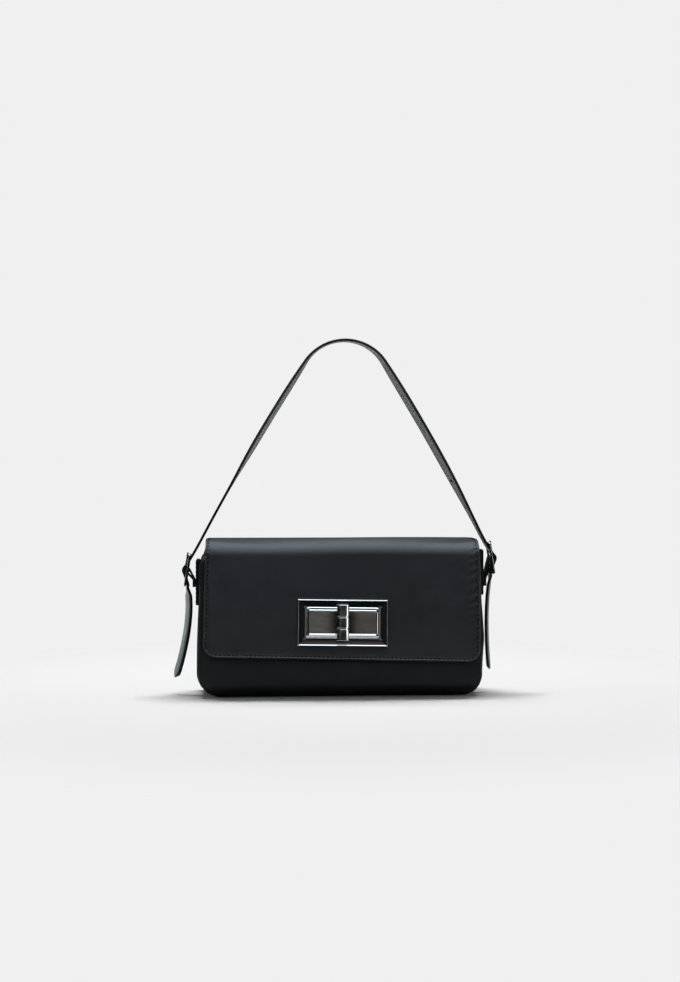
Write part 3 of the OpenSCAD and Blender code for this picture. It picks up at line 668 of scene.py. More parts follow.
flap_seam = add_piece("flap_seam_leather", down_mesh, [flap_calf, body_calf_painted_shade, edge_paint_painted_highlight],
                      None, (), sharp=60)
thicken(flap_seam, FLAP_T * 0.9, inner=1, rim=2)
bake_modifiers(flap_seam)
for piece in (rear_strip, flap_seam):
    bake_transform(piece)

# %% [markdown]
# ## Stitches
#
# Saddle stitches are 2.2 mm of waxed thread every 3.9 mm, with a dark needle hole between. Each is
# a small stretched sphere of a few faces, laid in the groove and turned along it.

# %% Stitches round the flap
PITCH, STITCH_L, STITCH_T = 3.9, 2.2, 0.9
LOW_ROW_POINTS = 398


def add_stitch(bm, place, along, normal, length=STITCH_L, thick=STITCH_T):
    """One stitch, a stretched sphere whose ends dip into the leather."""
    along = along.normalized()
    turn = Matrix((along, normal.cross(along), normal)).transposed().to_4x4()
    size = Matrix.Diagonal((length / 2, thick, thick * 0.75, 1))
    bmesh.ops.create_uvsphere(bm, u_segments=8, v_segments=5, radius=1.0,
                              matrix=Matrix.Translation(place) @ turn @ size @ Matrix.Rotation(
                                  math.pi / 2, 4, "Y"))


def flap_seam_points():
    """The stitch row, from the split down the left side, along the rim and up the right."""
    corner = FLAP_CORNER - STITCH_IN
    points = [(-flap_half(s) + STITCH_IN, s) for s in np.arange(0, FLAP_RUN - FLAP_CORNER, 0.5)]
    half = flap_half(FLAP_RUN) - FLAP_CORNER
    points += [(-half - corner * math.cos(a), FLAP_RUN - FLAP_CORNER + corner * math.sin(a))
               for a in np.linspace(0, math.pi / 2, 24)]
    points += [(x, FLAP_RUN - STITCH_IN)
               for x in np.linspace(-half, half, LOW_ROW_POINTS + 2)[1:-1]]
    return points + [(-x, s) for x, s in reversed(points[:-LOW_ROW_POINTS])]


def march(points, pitch):
    """Walks a line of points and gives a place and direction every pitch."""
    left, out = pitch / 2, []
    for a, b in zip(points, points[1:]):
        run = (b - a).length
        while left <= run and run > 0:
            out.append((a + (b - a) * (left / run), (b - a).normalized()))
            left += pitch
        left -= run
    return out


seam = [Vector((x, s, 0)) for x, s in flap_seam_points()]
fronts, rears = bmesh.new(), bmesh.new()
for spot, way in march(seam, PITCH):
    x, s = spot.x, spot.y
    here, normal = flap_point(x, s, 0.10)
    ahead = flap_point(x + way.x * 0.5, s + way.y * 0.5, 0.10)[0]
    along = ahead - here
    along -= normal * along.dot(normal)
    add_stitch(fronts if s > SPLIT_S else rears, here, along, normal)
flap_stitches = add_piece("flap_stitches", fronts, [thread])
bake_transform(flap_stitches)
rear_stitches = add_piece("flap_rear_stitches", rears, [thread])
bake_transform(rear_stitches)
seam_row = bmesh.new()
low_z = tuck_low + STITCH_IN
for x in np.arange(-114, 114.1, PITCH):
    place = Vector((x, half_depth(low_z) + FLAP_T + 0.1, low_z))
    add_stitch(seam_row, place, Vector((1, 0, 0)), Vector((0, 1, LEAN)).normalized())
add_piece("back_seam_stitches", seam_row, [thread], "bag")

# %% [markdown]
# ## The turn lock
#
# The lock is a cast plate: a thin flat rim, a band that slopes in to a sunken ledge, and a raised
# ring with a step along it, round a mirror-polished panel. Nothing shows a casting's quality like
# the light on its edges, so the plate is grown from one rounded face, ring by ring: each inset is
# moved to its own width, height and level, and the narrow ones become the bright lines.

# %% The lock's plane and its ringed plate
LOCK_Z, LOCK_TURN = 67.0, math.radians(-0.9)
lock_plane = (Matrix.Translation((0, -half_depth(LOCK_Z), LOCK_Z))
              @ Matrix.Rotation(math.pi / 2 - LEAN, 4, "X") @ Matrix.Rotation(LOCK_TURN, 4, "Z"))
ON_FLAP = Matrix.Translation((0, 0, FLAP_GAP))


def ringed_plate(rings):
    """Grows a plate from rings of width, height, corner radius and level, the first one lowest."""
    bm = bmesh.new()
    w, h, r, level = rings[0]
    bmesh.ops.create_grid(bm, x_segments=1, y_segments=1, size=0.5)
    bmesh.ops.scale(bm, vec=(w, h, 1), verts=bm.verts)
    bmesh.ops.translate(bm, vec=(0, 0, level), verts=bm.verts)
    bmesh.ops.bevel(bm, geom=bm.verts[:], offset=r, offset_type="OFFSET", affect="VERTICES",
                    segments=6, profile=0.5, material=-1)
    face = bm.faces[:][0]
    for new_w, new_h, new_r, new_level in rings[1:]:
        bmesh.ops.inset_region(bm, faces=[face], thickness=0.01, use_even_offset=True,
                               use_boundary=True)
        for v in face.verts:
            for axis, old, new in ((0, w, new_w), (1, h, new_h)):
                past = max(0.0, (abs(v.co[axis]) - (old / 2 - r)) / r)
                v.co[axis] = math.copysign(new / 2 - new_r + min(1.0, past) * new_r, v.co[axis])
            v.co.z = new_level
        w, h, r = new_w, new_h, new_r
    return bm, face


def keep_flat(piece):
    """Shades eased edges as round and leaves the wide faces between them flat."""
    flat = piece.modifiers.new("flat", "WEIGHTED_NORMAL")
    flat.mode, flat.weight, flat.keep_sharp = "FACE_AREA", 100, True
    bake_modifiers(piece)


lock_mesh, floor_face = ringed_plate([
    (82, 42.5, 0.8, 0.0), (82, 42.5, 0.8, 3.8), (80.7, 41.2, 0.6, 4.45), (80.3, 40.8, 0.6, 4.45),
    (79.0, 39.5, 0.5, 3.95), (73.6, 33.6, 1.2, 3.65), (73.2, 33.2, 1.4, 3.55), (67.2, 28.7, 2.8, 3.3),
    (66.5, 28.0, 3.0, 3.5),
    (65.7, 27.2, 2.8, 4.2), (65.1, 26.4, 2.6, 4.25), (64.7, 25.8, 2.4, 4.05),
    (64.3, 24.6, 2.1, 4.0), (63.9, 23.9, 1.9, 4.0), (63.1, 22.9, 1.8, 4.3),
    (62.7, 22.3, 1.6, 4.3), (61.7, 20.9, 1.1, 3.4), (61.5, 20.1, 1.0, 3.1), (61.5, 20.0, 1.0, 1.2)])
bmesh.ops.delete(lock_mesh, geom=[floor_face], context="FACES_ONLY")
bmesh.ops.transform(lock_mesh, matrix=lock_plane @ ON_FLAP, verts=lock_mesh.verts)
lock_plate = add_piece("lock_plate", lock_mesh, [nickel], "flap_front", ["lock_frame"],
                       sharp=50)
keep_flat(lock_plate)

# %% [markdown]
# The knob is a chamfered bar with two grooves across it. Cutting grooves into one bar leaves long
# faces that shade badly, so it is built as three short bars over a slightly lower core: each starts
# as a cube, gets its two wide chamfers, and then has every edge eased.

# %% The knob
KNOB_W, KNOB_L, KNOB_T, KNOB_LOW, GROOVE_AT = 11.0, 32.0, 5.2, 4.5, 5.3
knob_mesh = bmesh.new()


def knob_block(width, low_y, high_y, height, chamfer):
    """One chamfered length of the bar, standing on the bar's underside."""
    made = bmesh.ops.create_cube(knob_mesh, size=1.0)["verts"]
    bmesh.ops.scale(knob_mesh, vec=(width, high_y - low_y, height), verts=made)
    edges = {e for v in made for e in v.link_edges}
    tops = [e for e in edges if all(v.co.z > 0 for v in e.verts)
            and abs(e.verts[0].co.x - e.verts[1].co.x) < 0.01]
    made = {v for e in edges for v in e.verts}
    bmesh.ops.translate(knob_mesh, vec=(0, (low_y + high_y) / 2, KNOB_LOW + height / 2), verts=list(made))
    cut = bmesh.ops.bevel(knob_mesh, geom=tops, offset=chamfer, offset_type="OFFSET", affect="EDGES",
                          segments=1, profile=0.5, material=-1)
    made = {v for f in cut["faces"] for g in f.verts for h in g.link_faces for v in h.verts}
    edges = {e for v in made for e in v.link_edges}
    bmesh.ops.bevel(knob_mesh, geom=list(edges), offset=0.25, offset_type="OFFSET", affect="EDGES",
                    segments=3, profile=0.5, material=-1)


GROOVE_HALF = 0.6
for low_y, high_y in ((-KNOB_L / 2, -GROOVE_AT - GROOVE_HALF),
                      (GROOVE_HALF - GROOVE_AT, GROOVE_AT - GROOVE_HALF),
                      (GROOVE_AT + GROOVE_HALF, KNOB_L / 2)):
    knob_block(KNOB_W, low_y, high_y, KNOB_T, 2.3)
knob_block(KNOB_W - 1.2, 1 - KNOB_L / 2, KNOB_L / 2 - 1, KNOB_T - 0.9, 2.2)
bmesh.ops.create_cone(knob_mesh, cap_ends=True, segments=48, radius1=4.5, radius2=4.5, depth=2.2,
                      matrix=Matrix.Translation((0, 0, 3.45)))
bmesh.ops.transform(knob_mesh, matrix=lock_plane @ ON_FLAP, verts=knob_mesh.verts)
bmesh.ops.recalc_face_normals(knob_mesh, faces=knob_mesh.faces)
knob = add_piece("knob_polished", knob_mesh, [nickel], "knob", ["turn_knob"], sharp=50)
keep_flat(knob)

# %% [markdown]
# ## Strap, tails and chapes
#
# All are flat strips of glazed calf, two layers with a painted edge. A strip is a grid whose rows
# follow a line of points, thickened by a modifier that paints the rim and gives the inside its own
# grey split. The shoulder strap is twisted a little along each leg, so that its inside shows.

# %% Strips along a line
def strip(name, line, width, thick, faces, body=None, replaced=(), twist=None,
          tip=0.0, step=1.5, columns=9, ease_mm=0.5, cup=0.0):
    """A flat strip along x and z points, its outer face to the left of the way it runs."""
    line = np.array(line, float)
    run = np.concatenate([[0], np.cumsum(np.hypot(*np.diff(line, axis=0).T))])
    total = run[-1]
    marks = np.linspace(0, total - tip, max(3, int((total - tip) / step)))
    if tip:
        marks = np.concatenate([marks[:-1], total - tip * (1 - np.sin(np.linspace(0, math.pi / 2, 12)))])
    xs, zs = (np.interp(marks, run, line[:, k]) for k in (0, 1))
    bm, points = grid(columns, len(marks))
    for number, v in enumerate(points):
        row, column = divmod(number, columns)
        low, high = max(row - 1, 0), min(row + 1, len(marks) - 1)
        along = Vector((xs[high] - xs[low], 0, zs[high] - zs[low])).normalized()
        out = Vector((-along.z, 0, along.x))
        turn = math.radians(twist(marks[row] / total)) if twist else 0.0
        across = Vector((0, 1, 0)) * math.cos(turn) + out * math.sin(turn)
        half = width / 2
        if tip and marks[row] > total - tip:
            half *= math.sqrt(max(0.004, 1 - ((marks[row] - total + tip) / tip) ** 2))
        share = 2 * column / (columns - 1) - 1
        v.co = Vector((xs[row], 0, zs[row])) + across * half * share + out * cup * (1 - share ** 2)
    bm.normal_update()
    face = bm.faces[:][0]
    mid = face.calc_center_median()
    near = int(np.argmin(np.hypot(xs - mid.x, zs - mid.z)))
    high, low = min(near + 1, len(xs) - 1), max(near - 1, 0)
    if face.normal.dot(Vector((-(zs[high] - zs[low]), 0, xs[high] - xs[low]))) < 0:
        bmesh.ops.reverse_faces(bm, faces=bm.faces)
    for f in bm.faces:
        f.material_index = int(any(len(e.link_faces) == 1 for e in f.edges))
    front, back = faces
    piece = add_piece(name, bm, [front, strap_calf, back, strap_calf, edge_black], None, replaced,
                      sharp=60)
    thicken(piece, thick, offset=0.0, inner=2, rim=3)
    ease = piece.modifiers.new("ease", "BEVEL")
    ease.width, ease.segments, ease.limit_method = ease_mm * MM, 3, "ANGLE"
    ease.angle_limit = math.radians(60)
    bake_modifiers(piece)
    piece.data.shade_smooth()
    if body:
        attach(piece, body)
    return piece


# %% [markdown]
# The line is the frame's, but this soft strap's crown is 6 mm tighter and stands 4.5 mm to the
# right. Its legs bow out by 2.5 mm, pass over the outside of each buckle's bar and go back behind
# its lower wire. Distances out of a buckle's face and up along it are turned by its 9 degrees of tilt.

# %% The strap's line
BAR_X, LEFT_BAR_Z, RIGHT_BAR_Z, TILT = 140.8, 114.2, 124.4, math.radians(9)
STRAP_W, STRAP_T, CROWN_R, CROWN_Z, CROWN_X, LEG_BOW = 13.0, 2.4, 43.0, 283.8, 4.5, 2.5
UNDER, OVER_R, BUCKLE_HALF, TAIL_CUT = 2.7, 4.05, 13.8, 15.5


def near_bar(bar_z, out, up):
    """A point near a bar on the right side, out of the buckle's face and up along it."""
    return np.array([BAR_X + out * math.cos(TILT) - up * math.sin(TILT),
                     bar_z + out * math.sin(TILT) + up * math.cos(TILT)])


def strap_side(bar_z, shift):
    """The strap's middle line on the right side, from the crown's top to the bend of the tail."""
    crown = np.array([shift, CROWN_Z])
    top = near_bar(bar_z, -UNDER, BUCKLE_HALF)
    low = near_bar(bar_z, -UNDER, -BUCKLE_HALF)
    reach = top - crown
    angle = math.atan2(reach[0], -reach[1]) - math.asin(CROWN_R / math.hypot(*reach))
    side = np.array([math.cos(angle), math.sin(angle)])
    start = crown + CROWN_R * side
    points = [crown + CROWN_R * np.array([math.sin(a), math.cos(a)])
              for a in np.linspace(0, math.pi / 2 - angle, 26)[:-1]]
    points += [start + t * (top - start) + 4 * LEG_BOW * t * (1 - t) * side
               for t in np.linspace(0, 0.985, 30)]
    points += [near_bar(bar_z, OVER_R * math.cos(a), OVER_R * math.sin(a))
               for a in np.radians(np.linspace(62, -62, 13))]
    points += [low, near_bar(bar_z, -UNDER, -TAIL_CUT)]
    line = np.array(points)
    for _ in range(2):
        line[27:-2] = (line[26:-3] + 2 * line[27:-2] + line[28:-1]) / 4
    return line, angle


right_line, right_angle = strap_side(RIGHT_BAR_Z, CROWN_X)
left_line, left_angle = strap_side(LEFT_BAR_Z, -CROWN_X)
left_line = left_line * (-1, 1)
strap_line = np.concatenate([left_line[::-1][:-1], right_line])


def strap_twist(share):
    """How far the strap turns about its own line, in degrees, from its left end to its right."""
    left = math.exp(-((share - 0.33) / 0.11) ** 4)
    right = math.exp(-((share - 0.72) / 0.15) ** 4)
    return -17 * left - 20 * right


strap = strip("shoulder_strap_leather", strap_line, STRAP_W, STRAP_T, (strap_calf, split_grey),
              None, ["shoulder_strap"], strap_twist)


def punch(piece, spots, radius):
    """Punches round holes through a piece at places and directions in millimetres."""
    cutter = bmesh.new()
    for place, way in spots:
        turn = Vector((0, 0, 1)).rotation_difference(way).to_matrix().to_4x4()
        bmesh.ops.create_cone(cutter, cap_ends=True, segments=20, radius1=radius * MM, radius2=radius * MM,
                              depth=14 * MM, matrix=Matrix.Translation(place * MM) @ turn)
    mesh = bpy.data.meshes.new("cutter")
    cutter.to_mesh(mesh)
    cutter.free()
    tool = bpy.data.objects.new("cutter", mesh)
    bpy.context.scene.collection.objects.link(tool)
    cut = piece.modifiers.new("punch", "BOOLEAN")
    cut.object, cut.operation, cut.solver = tool, "DIFFERENCE", "EXACT"
    bake_modifiers(piece)
    bpy.data.objects.remove(tool)


HOLE_R, HOLE_FIRST, HOLE_PITCH = 1.5, 46, 27.6
holes = []
for sign, bar_z, angle in ((-1, LEFT_BAR_Z, left_angle), (1, RIGHT_BAR_Z, right_angle)):
    top = near_bar(bar_z, -UNDER, BUCKLE_HALF)
    for up in (HOLE_FIRST - BUCKLE_HALF / 2, HOLE_FIRST + HOLE_PITCH - BUCKLE_HALF / 2):
        spot = top + up * np.array([-math.sin(angle), math.cos(angle)]) + 1.5 * np.array(
            [math.cos(angle), math.sin(angle)])
        holes.append((Vector((sign * spot[0], 0, spot[1])),
                      Vector((sign * math.cos(angle), 0.0, math.sin(angle)))))
punch(strap, holes, HOLE_R)
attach(strap, "strap")

# %% [markdown]
# Each tail hangs from below its buckle in a slow curve and ends in a round tip. Each tail turns a
# little. Its worn grey face is outward on the left and towards the bag on the right.

# %% Tails
def tail_line(bar_z, drop, out, tuck):
    """A tail's middle line on the right side, from the end of the strap to its tip."""
    start = near_bar(bar_z, -UNDER, -TAIL_CUT - 0.3)
    bend = start + np.array([-tuck, -drop * 0.385])
    tip = start + np.array([out, -drop])
    above = near_bar(bar_z, -UNDER, -TAIL_CUT)
    return np.array([above] + [(1 - t) ** 2 * start + 2 * t * (1 - t) * bend + t * t * tip
                               for t in np.linspace(0, 1, 40)])


for side, sign, bar_z, drop, out, tuck, sway in (("left", -1, LEFT_BAR_Z, 82.0, 10.6, 5.0, 21.0),
                                                 ("right", 1, RIGHT_BAR_Z, 86.6, -1.4, 6.0, 16.0)):
    line = tail_line(bar_z, drop, out, tuck) * (sign, 1)
    tail = strip(f"tail_{side}_leather", line, STRAP_W, STRAP_T, (strap_calf, tail_grey),
                 None, [f"strap_tail_{side}"],
                 lambda share, most=sway * sign: most * min(1.0, share * 10.0),
                 tip=6.3, cup=0.6 * sign)
    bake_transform(tail)

# %% [markdown]
# A chape is one strip folded round the buckle's bar, its two ends sewn to the side tab. The tab is
# stitched flat on the gusset. The chape swings with the strap, while its foot turns on the tab.

# %% Chapes and side tabs
TAB_X, TAB_W, TAB_L, TAB_T, SWING_Z, CHAPE_T = 131.0, 16.0, 42.5, 2.0, 105.0, 1.4
TAB_SUNK_LEFT, TAB_SUNK_RIGHT = 128.8, 127.6    # the tabs reach in to the slumped gussets
for side, sign, bar_z, tab_z in (("left", -1, LEFT_BAR_Z, 82.0), ("right", 1, RIGHT_BAR_Z, 90.5)):
    foot_x = TAB_X + TAB_T + 0.3 + CHAPE_T
    bar = np.array([BAR_X, bar_z])
    foot = np.array([foot_x, SWING_Z])
    rise = (bar - foot) / np.linalg.norm(bar - foot)
    out = np.array([rise[1], -rise[0]])
    turn = 1.15 + CHAPE_T / 2
    inner_foot, outer_foot = foot + (-CHAPE_T / 2, -6.3), foot + (CHAPE_T / 2, -6.3)
    wrap = [bar + turn * (math.cos(a) * out + math.sin(a) * rise) for a in np.linspace(math.pi, 0, 15)]
    line = np.array([inner_foot, foot + (-CHAPE_T / 2, 0)] + wrap + [foot + (CHAPE_T / 2, 0.8), outer_foot])
    strip(f"chape_{side}_leather", line * (sign, 1), STRAP_W - 0.4, CHAPE_T,
          (strap_calf, split_grey) if sign > 0 else (split_grey, strap_calf),
          "strap", [f"chape_{side}"], step=0.8, ease_mm=0.35)
    inner, outer = (TAB_SUNK_LEFT if sign < 0 else TAB_SUNK_RIGHT), TAB_X + TAB_T + 0.15
    tab_mesh = bmesh.new()
    bmesh.ops.create_cube(tab_mesh, size=1.0)
    bmesh.ops.scale(tab_mesh, vec=(outer - inner, TAB_W, TAB_L), verts=tab_mesh.verts)
    fold = [e for e in tab_mesh.edges if all(v.co.z > 0 for v in e.verts)
            and abs(e.verts[0].co.y - e.verts[1].co.y) > 1]
    ends = [e for e in tab_mesh.edges if all(v.co.z < 0 for v in e.verts)
            and abs(e.verts[0].co.x - e.verts[1].co.x) > 1]
    for edges, size in ((fold, 1.9), (ends, 1.5)):
        bmesh.ops.bevel(tab_mesh, geom=edges, offset=size, offset_type="OFFSET", affect="EDGES", segments=5,
                        profile=0.5, material=-1)
    rims = [e for e in tab_mesh.edges if e.calc_face_angle(0) > 1.0]
    bmesh.ops.bevel(tab_mesh, geom=rims, offset=0.4, offset_type="OFFSET", affect="EDGES", segments=3,
                    profile=0.5, material=-1)
    bmesh.ops.translate(tab_mesh, verts=tab_mesh.verts,
                        vec=(sign * (inner + outer) / 2, 0, tab_z + TAB_L / 2))
    add_piece(f"side_tab_{side}_leather", tab_mesh, [strap_calf], "bag",
              [f"side_tab_{side}"])
    row_mesh = bmesh.new()
    skin = sign * outer
    frame_line = [Vector((skin, y, z)) for y, z in (
        (-6.2, tab_z + TAB_L - 2), (-6.2, tab_z + 1.9), (6.2, tab_z + 1.9), (6.2, tab_z + TAB_L - 2))]
    for place, way in march(frame_line, PITCH):
        add_stitch(row_mesh, place, way, Vector((sign, 0, 0)), thick=0.35)
    add_piece(f"side_tab_{side}_stitches", row_mesh, [thread], "bag")

# %% [markdown]
# ## Finishes for the rigid nodes
#
# The buckles, prongs, panel and fixings have the right shapes in the frame already. A node's mesh is
# never touched; it only takes a better material.

# %% Materials for the frame's own nodes
finishes = {nickel: ["buckle_left", "buckle_right", "prong_left", "prong_right"],
            mirror: ["lock_panel"], board: ["base_board"],
            steel: ["keeper_plate", "keeper_backing", "keeper_rivets", "lock_backing", "lock_screws",
                    "detent_washer", "knob_spindle", "latch_bar", "latch_screw"]}
for material, names in finishes.items():
    for name in names:
        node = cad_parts[name]
        node.data.materials.clear()
        node.data.materials.append(material)
print("rigid nodes finished:", sum(len(n) for n in finishes.values()))

# %% [markdown]
# ## The stage
#
# The picture is a plain studio shot: a pale floor that runs up into a pale wall, soft light from
# above and both sides. Near the bag the floor is matt and keeps the shadow; further out it gives
# the background's own colour to the camera and to mirrors, so there is no horizon. A dark card
# that only reflections can see stands behind the camera, as the dark studio does, because polished
# metal shows whatever it faces. The card has two plain grey screens on it, and a wing on the left.
# Some lamps light the matt surfaces, and others only show in glossy ones.

# %% Floor, wall and card
BACKGROUND = "#f0f0f0"
stage_paint, tree, surface, place = new_material("studio_floor_matt_paint")
tree.nodes.remove(surface)
surface = add_node(tree, "ShaderNodeBsdfDiffuse", {"Color": linear(BACKGROUND)})
distance = add_node(tree, "ShaderNodeVectorMath", {0: place}, operation="LENGTH")
far_share = add_node(tree, "ShaderNodeMapRange", {"Value": distance.outputs["Value"], "From Min": 0.22,
                                                  "From Max": 0.5}, interpolation_type="SMOOTHSTEP")
grain = add_node(tree, "ShaderNodeTexNoise", {"Vector": place, "Scale": per_metre(3), "Detail": 3.0})
fine = add_node(tree, "ShaderNodeBump", {"Height": grain.outputs["Fac"], "Strength": 0.05,
                                         "Distance": 0.05 * MM})
tree.links.new(fine.outputs[0], surface.inputs["Normal"])
glow = add_node(tree, "ShaderNodeEmission", {"Color": linear(BACKGROUND), "Strength": 1.0})
rays = add_node(tree, "ShaderNodeLightPath")
seen = add_node(tree, "ShaderNodeMath", {0: rays.outputs["Is Camera Ray"], 1: rays.outputs["Is Glossy Ray"]},
                operation="MAXIMUM")
seen_too = add_node(tree, "ShaderNodeMath", {0: seen.outputs[0], 1: rays.outputs["Is Transmission Ray"]},
                    operation="MAXIMUM")
share = add_node(tree, "ShaderNodeMath", {0: far_share.outputs[0], 1: seen_too.outputs[0]},
                 operation="MULTIPLY")
mix = add_node(tree, "ShaderNodeMixShader", {0: share.outputs[0], 1: surface.outputs[0],
                                             2: glow.outputs[0]})
out = [n for n in tree.nodes if n.type == "OUTPUT_MATERIAL"][0]
tree.links.new(mix.outputs[0], out.inputs["Surface"])


def stage_object(name, bm, material):
    """A part of the stage, in metres."""
    mesh = bpy.data.meshes.new(name)
    bm.to_mesh(mesh)
    bm.free()
    mesh.materials.append(material)
    made = bpy.data.objects.new(name, mesh)
    bpy.context.scene.collection.objects.link(made)
    return made


floor_mesh = bmesh.new()
bmesh.ops.create_circle(floor_mesh, cap_ends=True, segments=96, radius=6.0)
stage_object("studio_floor", floor_mesh, stage_paint)

dark_card, tree, surface, place = new_material("card_dark_felt", Roughness=1.0)
tree.nodes.clear()
spots = add_node(tree, "ShaderNodeTexCoord").outputs["Object"]
split = add_node(tree, "ShaderNodeSeparateXYZ", {"Vector": spots})
# Two plain grey screens, one on each side of a dark gap, stand for the studio
SCREENS_MIDDLE, SCREEN_OUT, SCREEN_HALF, SCREEN_SOFT = 0.17, 0.075, 0.035, 0.02
off_screen = split.outputs["X"]
for reach in (SCREENS_MIDDLE, SCREEN_OUT):
    off_screen = add_node(tree, "ShaderNodeMath", {0: off_screen, 1: reach}, operation="SUBTRACT").outputs[0]
    off_screen = add_node(tree, "ShaderNodeMath", {0: off_screen}, operation="ABSOLUTE").outputs[0]
screens = add_node(tree, "ShaderNodeMapRange", {"Value": off_screen, "From Min": SCREEN_HALF + SCREEN_SOFT,
                                                "From Max": SCREEN_HALF})
gear = add_node(tree, "ShaderNodeMix", {"Factor": screens.outputs[0], 6: linear("#1c1c1e"),
                                        7: linear("#808080")}, data_type="RGBA")
off_shelf = add_node(tree, "ShaderNodeMath", {0: split.outputs["Z"], 1: 0.26}, operation="SUBTRACT")
off_shelf = add_node(tree, "ShaderNodeMath", {0: off_shelf.outputs[0]}, operation="ABSOLUTE")
shelf = add_node(tree, "ShaderNodeMapRange", {"Value": off_shelf.outputs[0], "From Min": 0.13,
                                              "From Max": 0.10})
# The card glows with painted light: streaky blotches dim the screens in patches, and the wall grows lighter
# towards the top, as uneven studio light that only reflections show.
streaks = add_node(tree, "ShaderNodeMapping", {"Vector": spots, "Scale": (5.0, 5.0, 55.0)})
blotch = add_node(tree, "ShaderNodeTexNoise", {"Vector": streaks.outputs[0], "Scale": 1.0, "Detail": 3.0})
lit = add_node(tree, "ShaderNodeMapRange", {"Value": blotch.outputs["Fac"], "From Min": 0.35, "From Max": 0.6,
                                            "To Min": 0.4, "To Max": 1.0})
unevenly_lit_gear = add_node(tree, "ShaderNodeMix", {"Factor": lit.outputs[0], 6: linear("#14161a"),
                                             7: gear.outputs[2]}, data_type="RGBA")
height = add_node(tree, "ShaderNodeMapRange", {"Value": split.outputs["Z"], "From Min": 0.6, "From Max": 1.3})
wall_tone = add_node(tree, "ShaderNodeMix", {"Factor": height.outputs[0], 6: linear("#0c1214"),
                                             7: linear("#5d5356")}, data_type="RGBA")
felt = add_node(tree, "ShaderNodeMix", {"Factor": shelf.outputs[0], 6: wall_tone.outputs[2],
                                        7: unevenly_lit_gear.outputs[2]}, data_type="RGBA")
felt_glow = add_node(tree, "ShaderNodeEmission", {"Color": felt.outputs[2]})
add_node(tree, "ShaderNodeOutputMaterial", {"Surface": felt_glow.outputs[0]})
CARD_W, CARD_H, CARD_Y = 6.4, 1.7, -2.4
card_mesh = bmesh.new()
bmesh.ops.create_grid(card_mesh, x_segments=1, y_segments=1, size=0.5)
bmesh.ops.scale(card_mesh, vec=(CARD_W, CARD_H, 1), verts=card_mesh.verts)
bmesh.ops.transform(card_mesh, verts=card_mesh.verts,
                    matrix=Matrix.Translation((0, CARD_Y, CARD_H / 2)) @ Matrix.Rotation(math.pi / 2, 4, "X"))
APRON_NEAR, APRON_FAR = -0.16, -2.4
bmesh.ops.create_grid(card_mesh, x_segments=1, y_segments=1, size=0.5, matrix=Matrix.Translation(
    (0, (APRON_NEAR + APRON_FAR) / 2, 0.004)) @ Matrix.Diagonal((CARD_W, APRON_NEAR - APRON_FAR, 1, 1)))
WING_X, WING_DEEP, WING_H = -2.0, 1.8, 1.2
bmesh.ops.create_grid(card_mesh, x_segments=1, y_segments=1, size=0.5, matrix=Matrix.Translation(
    (WING_X, 0.6 - WING_DEEP / 2, WING_H / 2)) @ Matrix.Rotation(math.pi / 2, 4, "Y")
    @ Matrix.Diagonal((WING_H, WING_DEEP, 1, 1)))
card = stage_object("dark_card", card_mesh, dark_card)
card.visible_camera = card.visible_diffuse = card.visible_shadow = card.visible_transmission = False

# %% World and lamps
world = bpy.data.worlds.new("studio")
bpy.context.scene.world = world
world.use_nodes = True
tree = world.node_tree
tree.nodes.clear()
AMBIENT, SKY_LOW, SKY_HIGH = 0.09, 0.3, 0.7
rays = add_node(tree, "ShaderNodeLightPath")
way = add_node(tree, "ShaderNodeTexCoord").outputs["Generated"]
upwards = add_node(tree, "ShaderNodeSeparateXYZ", {"Vector": way})
glossy = add_node(tree, "ShaderNodeMapRange", {"Value": upwards.outputs["Z"], "From Min": SKY_LOW,
                                               "From Max": SKY_HIGH, "To Min": 0.03, "To Max": 0.8})
mirrored = add_node(tree, "ShaderNodeMath", {0: rays.outputs["Is Glossy Ray"], 1: glossy.outputs[0]},
                    operation="MULTIPLY")
seen = add_node(tree, "ShaderNodeMath", {0: rays.outputs["Is Camera Ray"],
                                         1: rays.outputs["Is Transmission Ray"]}, operation="MAXIMUM")
seen_too = add_node(tree, "ShaderNodeMath", {0: seen.outputs[0], 1: mirrored.outputs[0]}, operation="MAXIMUM")
ambient = add_node(tree, "ShaderNodeMath", {0: rays.outputs["Is Diffuse Ray"], 1: AMBIENT},
                   operation="MULTIPLY")
level = add_node(tree, "ShaderNodeMath", {0: seen_too.outputs[0], 1: ambient.outputs[0]}, operation="MAXIMUM")
sky = add_node(tree, "ShaderNodeBackground", {"Color": linear(BACKGROUND), "Strength": level.outputs[0]})
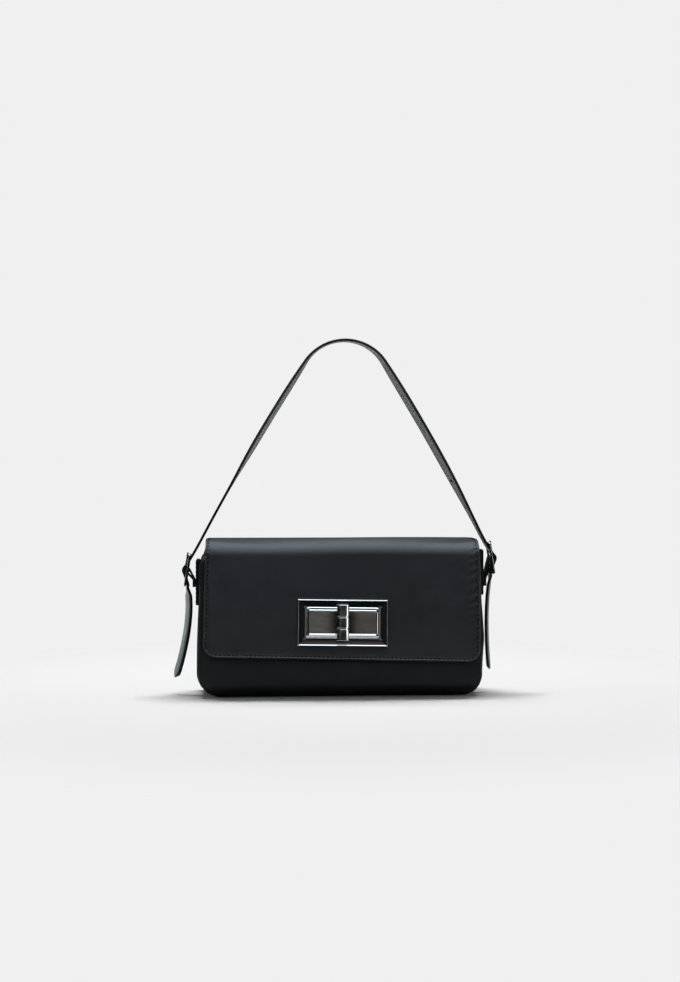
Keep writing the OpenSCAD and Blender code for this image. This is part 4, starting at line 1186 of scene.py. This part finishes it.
add_node(tree, "ShaderNodeOutputWorld", {"Surface": sky.outputs[0]})


def softbox(name, place, size, watts, tint=(1, 1, 1), mirrored=False):
    """A soft lamp turned to the bag, that lights matt surfaces or only shows in glossy ones."""
    lamp = bpy.data.lights.new(name, "AREA")
    lamp.shape, lamp.energy, lamp.color = "RECTANGLE", watts, tint
    lamp.size, lamp.size_y = size
    made = bpy.data.objects.new(name, lamp)
    bpy.context.scene.collection.objects.link(made)
    made.visible_diffuse, made.visible_glossy, made.visible_camera = not mirrored, mirrored, False
    made.location = place
    made.rotation_euler = (Vector((0, 0, 0.1)) - Vector(place)).to_track_quat("-Z", "Y").to_euler()
    return made


softbox("top_box", (0.0, 0.46, 2.2), (1.5, 0.24), 48)
softbox("left_box", (-1.5, 0.1, 0.9), (0.8, 0.8), 2.6)
softbox("right_box", (1.5, 0.1, 0.9), (0.8, 0.8), 2)
COOL = (0.74, 0.88, 1.0)
softbox("front_shine", (0.0, -0.85, 1.25), (1.8, 1.3), 17, COOL, mirrored=True)
softbox("top_shine", (0.0, -0.05, 1.5), (1.5, 1.2), 20, COOL, mirrored=True)
softbox("tail_shine", (-1.15, 1.15, 0.3), (0.16, 0.6), 1.0, (0.8, 1.0, 0.98), mirrored=True)
softbox("knob_shine", (1.3, 0.05, 0.12), (0.12, 0.5), 0.5, mirrored=True)
softbox("right_strip_shine", (1.3, -0.75, 0.35), (0.12, 0.9), 0.5, mirrored=True)
softbox("left_strip_shine", (-1.3, -0.75, 0.35), (0.08, 0.7), 0.3, (0.7, 1.0, 0.95), mirrored=True)

# %% Camera
camera_data = bpy.data.cameras.new("camera")
camera = bpy.data.objects.new("camera", camera_data)
bpy.context.scene.collection.objects.link(camera)
AIM, RANGE, BEARING = (0.0, 0.0, 0.187), 1.433, math.radians(-4)
camera.location = (RANGE * math.sin(BEARING), -RANGE * math.cos(BEARING), AIM[2])
camera.rotation_euler = (math.pi / 2, 0, BEARING)
camera_data.lens = 56.6
bpy.context.scene.camera = camera
bpy.context.scene.view_settings.view_transform = "Standard"
